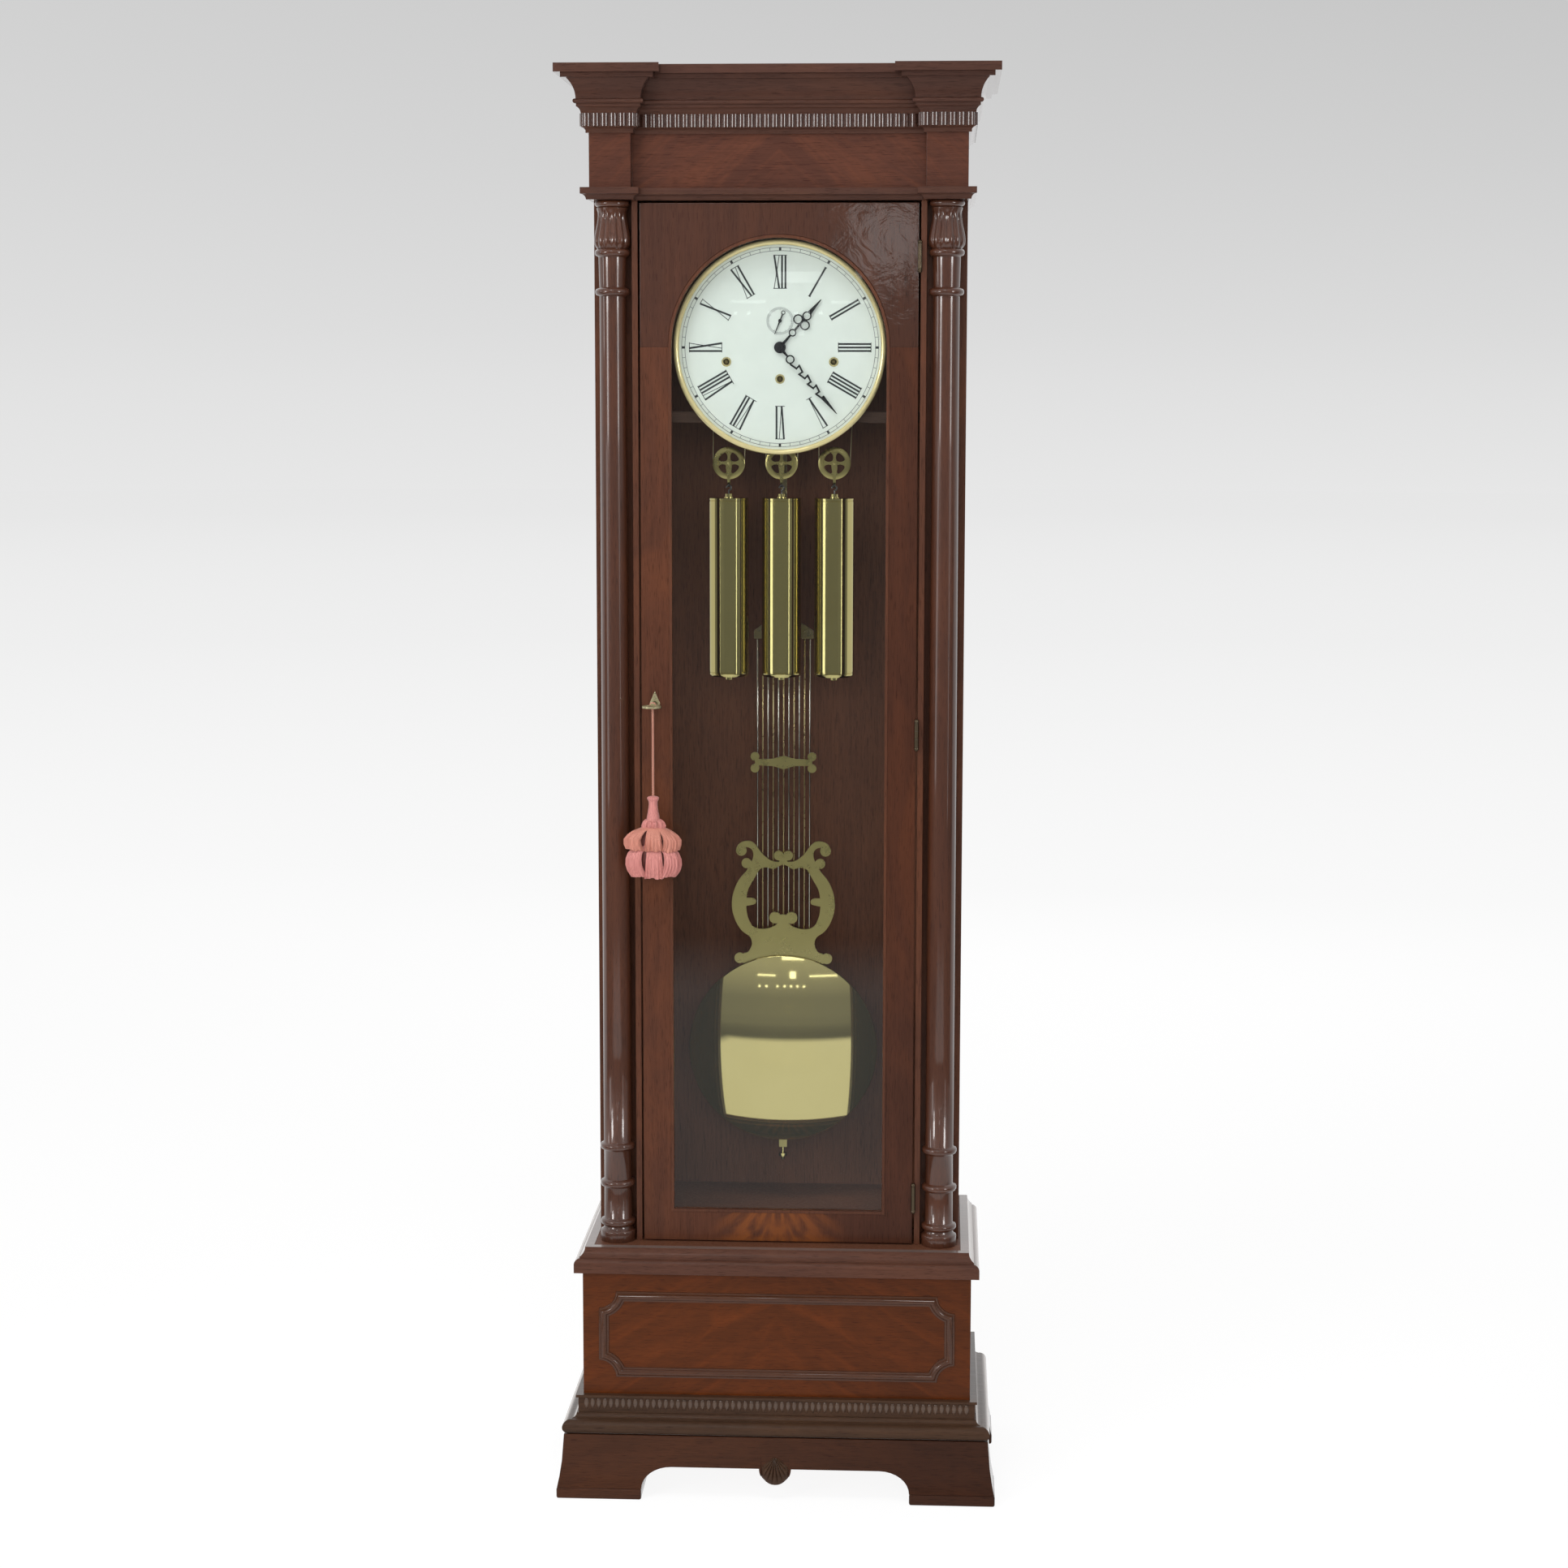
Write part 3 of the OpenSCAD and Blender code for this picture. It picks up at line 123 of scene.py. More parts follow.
def addNode(tree, kind, **values):
    node = tree.nodes.new(kind)
    for key, value in values.items():
        if key in node.inputs:
            node.inputs[key].default_value = value
        else:
            setattr(node, key, value)
    return node


def objectCoords(tree, scale=(1, 1, 1)):
    coords = addNode(tree, "ShaderNodeTexCoord")
    mapping = addNode(tree, "ShaderNodeMapping", Scale=scale)
    tree.links.new(coords.outputs["Object"], mapping.inputs["Vector"])
    return mapping.outputs["Vector"]


def noise(tree, vector, scale, detail=3.0, rough=0.5, distortion=0.0):
    node = addNode(tree, "ShaderNodeTexNoise", Scale=scale, Detail=detail, Roughness=rough,
                   Distortion=distortion)
    tree.links.new(vector, node.inputs["Vector"])
    return node.outputs["Fac"]


def ramp(tree, factor, stops):
    # each stop is a place along the ramp and how light it is there
    node = addNode(tree, "ShaderNodeValToRGB")
    while len(node.color_ramp.elements) < len(stops):
        node.color_ramp.elements.new(0.5)
    for element, (position, level) in zip(node.color_ramp.elements, stops):
        element.position = position
        element.color = (level, level, level, 1)
    tree.links.new(factor, node.inputs["Fac"])
    return node.outputs["Color"]


def feed(tree, socket, value):
    # gives a socket the output of another node, a colour or a number
    if hasattr(value, "links"):
        tree.links.new(value, socket)
    elif isinstance(value, tuple):
        socket.default_value = (*value, 1)
    else:
        socket.default_value = value


def mixColour(tree, kind, factor, first, second):
    node = addNode(tree, "ShaderNodeMix", data_type="RGBA", blend_type=kind)
    for number, value in ((0, factor), (6, first), (7, second)):
        feed(tree, node.inputs[number], value)
    return node.outputs[2]


def mixShader(tree, factor, first, second):
    node = addNode(tree, "ShaderNodeMixShader")
    for socket, value in zip(node.inputs, (factor, first, second)):
        feed(tree, socket, value)
    return node.outputs[0]


def maths(tree, operation, *values):
    node = addNode(tree, "ShaderNodeMath", operation=operation)
    for socket, value in zip(node.inputs, values):
        feed(tree, socket, value)
    return node.outputs[0]


def mapRange(tree, value, low, high, toLow=0.0, toHigh=1.0):
    node = addNode(tree, "ShaderNodeMapRange")
    for name, given in (("Value", value), ("From Min", low), ("From Max", high), ("To Min", toLow),
                        ("To Max", toHigh)):
        feed(tree, node.inputs[name], given)
    return node.outputs[0]


def objectParts(tree):
    # how far a point lies across, back and up from the clock's origin
    coords = addNode(tree, "ShaderNodeTexCoord")
    parts = addNode(tree, "ShaderNodeSeparateXYZ")
    tree.links.new(coords.outputs["Object"], parts.inputs[0])
    return parts.outputs


def bump(tree, shader, height, strength, distance):
    node = addNode(tree, "ShaderNodeBump", Strength=strength, Distance=distance)
    tree.links.new(height, node.inputs["Height"])
    tree.links.new(node.outputs["Normal"], shader.inputs["Normal"])


# wood

grainStretch = {"x": (0.05, 1, 1), "y": (1, 0.05, 1), "z": (1, 1, 0.05)}
figureStretch = {"x": (0.5, 1, 1), "y": (1, 0.5, 1), "z": (1, 1, 0.35)}


def sheen(tree, shader, level, edge):
    # a thin finish that shows most where the surface is seen edge on
    facing = addNode(tree, "ShaderNodeLayerWeight", Blend=0.5)
    weight = ramp(tree, facing.outputs["Facing"], [(0.5, level), (0.74, max(level, edge))])
    tree.links.new(weight, shader.inputs["Coat Weight"])


# the fan's middle and the edges where it fades, across and upwards, in metres
fanFigure = {"middle": 0.475, "full": 0.045, "gone": 0.105, "railFull": 0.427, "railGone": 0.4295}


def addFan(tree, body, warm):
    # the figure of the door's bottom rail spreads like a fan from its middle
    parts = objectParts(tree)
    across = maths(tree, "ABSOLUTE", parts["X"])
    angle = maths(tree, "ARCTAN2", across, maths(tree, "SUBTRACT", fanFigure["middle"], parts["Z"]))
    ray = addNode(tree, "ShaderNodeCombineXYZ")
    tree.links.new(angle, ray.inputs["X"])
    tree.links.new(maths(tree, "MULTIPLY", parts["Z"], 6.0), ray.inputs["Z"])
    rays = ramp(tree, noise(tree, ray.outputs[0], 4.5, 3, 0.5, 0.4), [(0.40, 0.05), (0.58, 1)])
    near = maths(tree, "MULTIPLY", mapRange(tree, across, fanFigure["gone"], fanFigure["full"]),
                 mapRange(tree, parts["Z"], fanFigure["railGone"], fanFigure["railFull"]))
    return mixColour(tree, "MIX", maths(tree, "MULTIPLY", near, rays), body,
                     (warm[0] * 1.25, warm[1] * 1.2, warm[2] * 0.8))


def woodMaterial(name, grain, tone, depth=0.5, glow=0.4, rough=0.34, coat=0.06, edge=0.9, shine=0.12,
                 coatRough=0.12, mirrored=0.0, wave=0.0, fan=False, paintedShade=0.0, pale=0.0):
    # tone is the middle colour; depth sets how dark the streaks go and glow how far the figure lights up
    material, tree, shader = newMaterial(name)
    dark = tuple(channel * (1 - 0.55 * depth) for channel in tone)
    warm = (tone[0] * 1.75, tone[1] * 1.55, tone[2] * 1.15)
    along = objectCoords(tree, grainStretch[grain])
    streaks = noise(tree, along, 240, 5, 0.62, 0.2)
    bands = noise(tree, along, 34, 4, 0.55, 0.5)
    pores = noise(tree, along, 1100, 2, 0.5)
    body = mixColour(tree, "MIX", ramp(tree, streaks, [(0.34, 0), (0.62, 1)]), dark, tone)
    body = mixColour(tree, "MIX", ramp(tree, bands, [(0.42, 0), (0.75, 0.45)]), body, dark)
    if mirrored:
        # two leaves of one veneer laid edge to edge: the figure leans up and away from the joint
        parts = objectParts(tree)
        across = maths(tree, "ABSOLUTE", parts["X"])
        leaf = addNode(tree, "ShaderNodeCombineXYZ")
        tree.links.new(across, leaf.inputs["X"])
        tree.links.new(maths(tree, "MULTIPLY_ADD", across, mirrored, parts["Z"]), leaf.inputs["Z"])
        squeeze = addNode(tree, "ShaderNodeVectorMath", operation="MULTIPLY")
        squeeze.inputs[1].default_value = (4.0, 1.0, 16.0)
        tree.links.new(leaf.outputs[0], squeeze.inputs[0])
        flame = noise(tree, squeeze.outputs[0], 1.2, 4, 0.6, 1.6)
    else:
        flame = noise(tree, objectCoords(tree, figureStretch[grain]), 8, 4, 0.6, 1.4)
    glowAmount = ramp(tree, flame, [(0.44, 0), (0.70, glow)])
    body = mixColour(tree, "MIX", glowAmount, body, warm)
    shadeAmount = ramp(tree, flame, [(0.28, 0.5), (0.44, 0)])
    body = mixColour(tree, "MIX", shadeAmount, body, dark)
    body = mixColour(tree, "MULTIPLY", ramp(tree, pores, [(0.34, 0.8), (0.42, 0)]), body, (0.5, 0.45, 0.42))
    if fan:
        body = addFan(tree, body, warm)
    if paintedShade:
        # painted shade: the right-hand side is darkened as if it stood away from the windows
        away = mapRange(tree, objectParts(tree)["X"], -0.08, 0.22, 0.0, paintedShade)
        body = mixColour(tree, "MULTIPLY", away, body, (0.45, 0.40, 0.40))
    if pale:
        # dust and painted sheen: a pale tone, partly dust on the ledges and partly a painted grazing
        # reflection, is mixed in where they are seen nearly edge on
        facing = addNode(tree, "ShaderNodeLayerWeight", Blend=0.5)
        dustedSheen = ramp(tree, facing.outputs["Facing"], [(0.70, 0), (0.80, pale)])
        body = mixColour(tree, "MIX", dustedSheen, body, (0.62, 0.57, 0.54))
    tree.links.new(body, shader.inputs["Base Color"])
    coarse = ramp(tree, streaks, [(0.2, rough * 1.2), (0.8, rough * 0.85)])
    tree.links.new(coarse, shader.inputs["Roughness"])
    shader.inputs["Coat Roughness"].default_value = coatRough
    shader.inputs["Specular IOR Level"].default_value = shine
    if edge:
        sheen(tree, shader, coat, edge)
    else:
        shader.inputs["Coat Weight"].default_value = coat
    bump(tree, shader, streaks, 0.06, 0.0005)
    if wave:
        swell = addNode(tree, "ShaderNodeBump", Strength=wave, Distance=0.002)
        tree.links.new(noise(tree, objectCoords(tree), 22, 4, 0.6, 0.8), swell.inputs["Height"])
        tree.links.new(swell.outputs["Normal"], shader.inputs["Coat Normal"])
    return material


wood = {
    "cornice": woodMaterial("cornice_wood", "x", (0.061, 0.026, 0.018), 0.4, 0.25),
    "frieze": woodMaterial("frieze_veneer", "x", (0.071, 0.0245, 0.0145), 0.45, 0.45, mirrored=0.9),
    "waist": woodMaterial("waist_wood", "x", (0.078, 0.032, 0.0205), 0.4, 0.25, pale=0.9),
    "panel": woodMaterial("panel_veneer", "x", (0.083, 0.0205, 0.004), 0.4, 0.5, mirrored=0.55, paintedShade=0.2),
    "panel_bead": woodMaterial("panel_bead_wood", "x", (0.062, 0.0225, 0.0105), 0.4, 0.2, 0.22, 0.38, 0,
                               0.2, coatRough=0.06),
    "apron": woodMaterial("apron_wood", "x", (0.052, 0.0185, 0.0085), 0.4, 0.25, mirrored=0.4, paintedShade=0.6),
    "dusted_sheen": woodMaterial("dusty_wood", "x", (0.052, 0.026, 0.0145), 0.4, 0.2, 0.45, pale=0.9),
    "tongue": woodMaterial("tongue_wood", "x", (0.082, 0.047, 0.030), 0.3, 0.1, 0.3, 0.5, 0, 0.3,
                           coatRough=0.08),
    "side": woodMaterial("side_veneer", "z", (0.080, 0.030, 0.017), 0.45, 0.4),
    "stile": woodMaterial("stile_veneer", "z", (0.076, 0.027, 0.0145), 0.45, 0.5, fan=True, paintedShade=0.6),
    "head": woodMaterial("head_veneer", "z", (0.057, 0.0210, 0.0120), 0.45, 0.3, coat=0.75,
                         coatRough=0.07, wave=0.15, paintedShade=0.45),
    "turned": woodMaterial("turned_wood", "z", (0.062, 0.0215, 0.0115), 0.4, 0.3, 0.3, 0.85, 0, 0.25,
                           coatRough=0.06),
    "reeded": woodMaterial("reeded_wood", "x", (0.046, 0.019, 0.013), 0.3, 0.1, 0.25, 1.0, 0, 0.3,
                           coatRough=0.08),
    # painted light: the boards inside the trunk are given a lighter tone than the case outside, standing in
    # for the light that reaches them
    "inside": woodMaterial("inside_boards", "z", (0.118, 0.047, 0.026), 0.4, 0.2, 0.5, 0, 0, 0.2),
    "rail": woodMaterial("seat_wood", "x", (0.06, 0.032, 0.022), 0.4, 0.2, 0.55, 0, 0, 0.2),
}
print("wood finishes ready")


# metals, paint and glass

def metalMaterial(name, base, shade, rough, stretch=(1, 1, 1), scale=60, bumpStrength=0.03, metallic=1.0,
                  spread=1.0):
    # spread says how far the roughness varies about its middle value
    material, tree, shader = newMaterial(name)
    wear = noise(tree, objectCoords(tree, stretch), scale, 5, 0.6)
    broad = noise(tree, objectCoords(tree), 9, 3, 0.5, 0.5)
    colour = mixColour(tree, "MIX", ramp(tree, broad, [(0.35, 0), (0.75, 0.6)]), base, shade)
    tree.links.new(colour, shader.inputs["Base Color"])
    coarse = ramp(tree, wear, [(0.25, rough * (1 - 0.3 * spread)), (0.8, rough * (1 + 0.4 * spread))])
    tree.links.new(coarse, shader.inputs["Roughness"])
    shader.inputs["Metallic"].default_value = metallic
    if bumpStrength:
        bump(tree, shader, wear, bumpStrength, 0.0003)
    return material


metalLooks = {  # two colours, the roughness, then what differs from metalMaterial's own values
    "polished_brass": ((0.63, 0.55, 0.24), (0.56, 0.48, 0.195), 0.08, (1, 1, 0.2), 40, 0, 1.0, 0.5),
    "bob_brass": ((0.63, 0.545, 0.245), (0.59, 0.505, 0.215), 0.05, (1, 1, 1), 6, 0, 0.965, 0.15),
    "bezel_brass": ((0.80, 0.68, 0.36), (0.68, 0.56, 0.27), 0.16, (1, 1, 1), 60, 0.01, 0.55),
    "key_brass": ((0.50, 0.45, 0.27), (0.42, 0.37, 0.21), 0.3, (1, 1, 1), 200, 0.02, 0.8),
    "lyre_brass": ((0.48, 0.415, 0.17), (0.39, 0.335, 0.135), 0.3, (1, 1, 1), 60, 0.01),
    "rod_brass": ((0.50, 0.40, 0.20), (0.40, 0.31, 0.14), 0.28),
    "dark_bronze": ((0.13, 0.10, 0.065), (0.085, 0.065, 0.042), 0.38),
    "dark_steel": ((0.17, 0.165, 0.16), (0.10, 0.098, 0.095), 0.35),
    "movement_brass": ((0.66, 0.50, 0.22), (0.55, 0.41, 0.17), 0.3),
    "aged_brass": ((0.30, 0.26, 0.16), (0.21, 0.18, 0.105), 0.3, (1, 1, 1), 120, 0.06),
    "cable_brass": ((0.50, 0.43, 0.26), (0.4, 0.33, 0.19), 0.35),
    "bright_steel": ((0.56, 0.56, 0.56), (0.46, 0.46, 0.47), 0.25),
    "rods_metal": ((0.52, 0.50, 0.44), (0.42, 0.40, 0.34), 0.2),
    "chime_steel": ((0.30, 0.30, 0.31), (0.22, 0.22, 0.23), 0.4),
}
metal = {name: metalMaterial(name, *look) for name, look in metalLooks.items()}


def paintMaterial(name, base, shade, rough, scale=40):
    material, tree, shader = newMaterial(name)
    mottle = noise(tree, objectCoords(tree), scale, 4, 0.55)
    colour = mixColour(tree, "MIX", ramp(tree, mottle, [(0.35, 0), (0.7, 0.5)]), base, shade)
    tree.links.new(colour, shader.inputs["Base Color"])
    coarse = ramp(tree, mottle, [(0.3, rough * 0.8), (0.7, rough * 1.15)])
    tree.links.new(coarse, shader.inputs["Roughness"])
    bump(tree, shader, noise(tree, objectCoords(tree), 900, 2), 0.03, 0.0002)
    return material


paintLooks = {
    "dial_enamel": ((0.70, 0.725, 0.69), (0.64, 0.665, 0.635), 0.4),
    "hand_black": ((0.012, 0.012, 0.014), (0.022, 0.022, 0.024), 0.3, 300),
    "numeral_black": ((0.02, 0.022, 0.026), (0.03, 0.03, 0.034), 0.45, 300),
    "numeral_grey": ((0.11, 0.12, 0.135), (0.15, 0.16, 0.175), 0.45, 300),
}
paint = {name: paintMaterial(name, *look) for name, look in paintLooks.items()}


def glassMaterial(name, tint, gloss):
    # clear, with a thin reflection on the side that faces the eye
    material, tree, shader = newMaterial(name)
    clear = addNode(tree, "ShaderNodeBsdfTransparent", Color=(*tint, 1))
    fresnel = addNode(tree, "ShaderNodeFresnel", IOR=gloss)
    facing = addNode(tree, "ShaderNodeNewGeometry")
    front = maths(tree, "SUBTRACT", 1.0, facing.outputs["Backfacing"])
    share = maths(tree, "MULTIPLY", fresnel.outputs["Fac"], front)
    shader.inputs["Base Color"].default_value = (0.9, 0.92, 0.92, 1)
    shader.inputs["Metallic"].default_value = 1.0
    shader.inputs["Roughness"].default_value = 0.02
    both = mixShader(tree, share, clear.outputs["BSDF"], shader.outputs["BSDF"])
    tree.links.new(both, tree.nodes["Material Output"].inputs["Surface"])
    return material


glass = {"door": glassMaterial("door_glass", (0.975, 0.985, 0.98), 1.45),
         "dial": glassMaterial("dial_glass", (0.98, 0.99, 0.985), 1.45)}


def threadMaterial(name, base, shade, pitch):
    material, tree, shader = newMaterial(name)
    threads = noise(tree, objectCoords(tree, (1, 1, 0.02)), pitch, 2, 0.5)
    broad = noise(tree, objectCoords(tree), 35, 3)
    colour = mixColour(tree, "MIX", ramp(tree, threads, [(0.35, 0), (0.65, 1)]), shade, base)
    dull = ramp(tree, broad, [(0.3, 0.35), (0.7, 0)])
    colour = mixColour(tree, "MULTIPLY", dull, colour, (0.8, 0.68, 0.62))
    tree.links.new(colour, shader.inputs["Base Color"])
    shader.inputs["Roughness"].default_value = 0.55
    shader.inputs["Sheen Weight"].default_value = 0.25
    shader.inputs["Sheen Roughness"].default_value = 0.35
    bump(tree, shader, threads, 0.5, 0.0008)
    return material


thread = {"cord": threadMaterial("cord_thread", (0.50, 0.235, 0.165), (0.34, 0.14, 0.095), 900),
          "tassel": threadMaterial("tassel_thread", (0.57, 0.225, 0.20), (0.39, 0.13, 0.115), 1400),
          # painted shade: a dark thread for the core that fills the shade between the tufts
          "shadow": threadMaterial("painted_shade_thread", (0.20, 0.06, 0.05), (0.12, 0.035, 0.03), 1400),
          "upper": threadMaterial("upper_tuft_thread", (0.55, 0.225, 0.165), (0.38, 0.135, 0.095), 1400)}
print("metal, glass and thread finishes ready")


# which finish each carried-over part takes

finishes = {
    wood["cornice"]: ["architrave", "cornice_moulding"],
    wood["waist"]: ["waist_moulding"],
    wood["panel_bead"]: ["panel_moulding"],
    wood["dusted_sheen"]: ["base_moulding", "apron_shell"],
    wood["frieze"]: ["frieze"],
    wood["panel"]: ["base_panels"],
    wood["apron"]: ["bracket_aprons", "foot_pads"],
    wood["side"]: ["trunk_sides", "glazing_beads"],
    wood["stile"]: ["door_stiles"],
    wood["head"]: ["door_arch_head"],
    wood["turned"]: ["turned_columns"],
    wood["reeded"]: ["reeded_band"],
    wood["inside"]: ["carcass_boards", "backboard"],
    wood["rail"]: ["seat_rails"],
    metal["polished_brass"]: ["left_weight", "centre_weight", "right_weight", "rating_nut"],
    metal["bob_brass"]: ["pendulum_bob"],
    metal["bezel_brass"]: ["bezel"],
    metal["key_brass"]: ["lock_key", "escutcheon"],
    metal["movement_brass"]: ["movement_plates", "chime_hammers", "hour_wheel", "minute_wheel",
                              "centre_wheel", "escape_wheel", "left_drum", "centre_drum",
                              "right_drum", "lock_case", "lock_bolt"],
    metal["aged_brass"]: ["pendulum_hanger"],
    metal["lyre_brass"]: ["pendulum_lyre", "left_pulley", "centre_pulley", "right_pulley"],
    metal["dark_bronze"]: ["case_hinges", "door_hinges"],
    metal["cable_brass"]: ["left_cable", "centre_cable", "right_cable"],
    metal["bright_steel"]: ["verge", "suspension_spring"],
    metal["rods_metal"]: ["pendulum_rods"],
    metal["chime_steel"]: ["chime_rods"],
    paint["dial_enamel"]: ["dial"],
    paint["hand_black"]: ["hour_hand", "minute_hand", "seconds_hand"],
    glass["door"]: ["door_glass"],
    glass["dial"]: ["dial_glass"],
    thread["cord"]: ["tassel_cord"],
    thread["tassel"]: ["key_tassel"],
}
finishOf = {node: finish for finish, members in finishes.items() for node in members}
for name, node in nodes.items():
    node.data.materials.clear()
    node.data.materials.append(finishOf[name])
    for face in node.data.polygons:
        face.material_index = 0


# piece helpers

def addPiece(name, shape, finish, body, stands=(), smooth=35):
    bmesh.ops.remove_doubles(shape, verts=shape.verts, dist=2e-6)
    bmesh.ops.recalc_face_normals(shape, faces=shape.faces)
    mesh = bpy.data.meshes.new(name)
    shape.to_mesh(mesh)
    shape.free()
    mesh.materials.append(finish)
    mesh.shade_smooth()
    mesh.set_sharp_from_angle(angle=math.radians(smooth))
    piece = bpy.data.objects.new(name, mesh)
    scene.collection.objects.link(piece)
    if body:
        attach(piece, body)
    if stands:
        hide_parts(*stands)
    return piece


def standIn(name, shape, node, smooth=35):
    # a piece drawn in place of a carried-over part, with that part's finish, body and slot
    return addPiece(name, shape, finishOf[node], nodes[node]["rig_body"], [node], smooth)


def eased(node, width, sharpFrom=40):
    # a merged copy of a part, with its sharp edges rounded where a width is given
    shape = bmesh.new()
    shape.from_mesh(nodes[node].data)
    bmesh.ops.remove_doubles(shape, verts=shape.verts, dist=1e-5)
    bmesh.ops.dissolve_limit(shape, angle_limit=math.radians(0.6), verts=shape.verts, edges=shape.edges)
    if width:
        edges = [e for e in shape.edges if len(e.link_faces) == 2
                 and e.calc_face_angle(0) > math.radians(sharpFrom)]
        bmesh.ops.bevel(shape, geom=edges, offset=width * mm, offset_type="OFFSET", segments=2,
                        profile=0.5, affect="EDGES", clamp_overlap=True, material=-1)
    piece = standIn(node + "_eased", shape, node)
    even = piece.modifiers.new("even_shading", "WEIGHTED_NORMAL")  # keeps the flat faces flat
    even.keep_sharp = True
    even.weight = 100


def join(shape, other):
    mesh = bpy.data.meshes.new("part")
    other.to_mesh(mesh)
    other.free()
    shape.from_mesh(mesh)
    bpy.data.meshes.remove(mesh)


def lathe(profile, x, depth, z, axis="z", steps=48):
    # the profile has the radius and the distance along the axis; the axis is z, or y for what
    # turns about a line from front to back
    shape = bmesh.new()
    verts = [shape.verts.new((radius * mm, 0, along * mm)) for radius, along in profile]
    edges = [shape.edges.new(pair) for pair in zip(verts, verts[1:])]
    bmesh.ops.spin(shape, geom=verts + edges, cent=(0, 0, 0), axis=(0, 0, 1), dvec=(0, 0, 0),
                   angle=2 * math.pi, steps=steps, use_merge=True)
    bmesh.ops.remove_doubles(shape, verts=shape.verts, dist=1e-6)
    if axis == "y":
        bmesh.ops.rotate(shape, verts=shape.verts, cent=(0, 0, 0),
                         matrix=Matrix.Rotation(-math.pi / 2, 3, "X"))
    shift(shape, place(x, depth, z))
    return shape


def shift(shape, distance):
    bmesh.ops.translate(shape, verts=shape.verts, vec=distance)


def vertsOf(grown):
    return [g for g in grown if isinstance(g, bmesh.types.BMVert)]


def plate(outline, front, back, shape=None):
    # an outline in x and z, given thickness from front to back
    shape = shape or bmesh.new()
    face = shape.faces.new([shape.verts.new(place(x, front, z)) for x, z in outline])
    grown = bmesh.ops.extrude_face_region(shape, geom=[face], use_keep_orig=True)["geom"]
    bmesh.ops.translate(shape, verts=vertsOf(grown), vec=(0, (back - front) * mm, 0))
    return shape


def addRing(shape, loops, ring):
    # joins a new ring of points to the one before it
    loops.append(list({e for v in ring for e in v.link_edges}))
    if len(loops) > 1:
        bmesh.ops.bridge_loops(shape, edges=loops[-2] + loops[-1])


def closeEnds(shape, loops):
    for loop in (loops[0], loops[-1]):
        bmesh.ops.holes_fill(shape, edges=loop)


def sweep(path, radius, sides=12, shape=None):
    # a round wire through the given points, closed at both ends
    shape = shape or bmesh.new()
    loops = []
    for i, point in enumerate(path):
        toward = path[min(i + 1, len(path) - 1)] - path[max(i - 1, 0)]
        turn = toward.to_track_quat("Z", "Y").to_matrix().to_4x4()
        addRing(shape, loops, bmesh.ops.create_circle(
            shape, segments=sides, radius=radius * mm, matrix=Matrix.Translation(point) @ turn)["verts"])
    closeEnds(shape, loops)
    return shape


easing = {  # how far the sharp edges of each carried-over part are rounded
    "foot_pads": 3, "bracket_aprons": 1.5, "base_panels": 1, "waist_moulding": 0.8, "frieze": 0.8,
    "trunk_sides": 0.8, "door_stiles": 0.8, "door_arch_head": 0.8, "base_moulding": 0.6,
    "architrave": 0.6, "cornice_moulding": 0.8, "carcass_boards": 1, "glazing_beads": 0.5,
    "pendulum_lyre": 0.5, "pendulum_hanger": 0.5, "lock_key": 0.5, "escutcheon": 0.4,
    "door_hinges": 0, "case_hinges": 0, "reeded_band": 0, "dial": 0, "rating_nut": 0.3,
    "movement_plates": 0.3,
}
for node, width in easing.items():
    eased(node, width)
print("case boards eased")


# turned columns

column = {"x": 241.5, "depth": 30, "foot": 378, "head": 1920.5, "reeds": 14, "reedDepth": 2.7,
          "reedLow": 5, "reedHigh": 57, "rings": (29, 89, 146), "ring": 26, "neck": 1790.5,
          "cup": 1846.5}


def ringProfile(z, reach, root):
    return [(root, z - 6.5), (reach - 3.6, z - 5.2), (reach - 1.2, z - 4), (reach, z - 1.6),
            (reach, z + 1.6), (reach - 1.2, z + 4), (reach - 3.6, z + 5.2), (root, z + 6.5)]


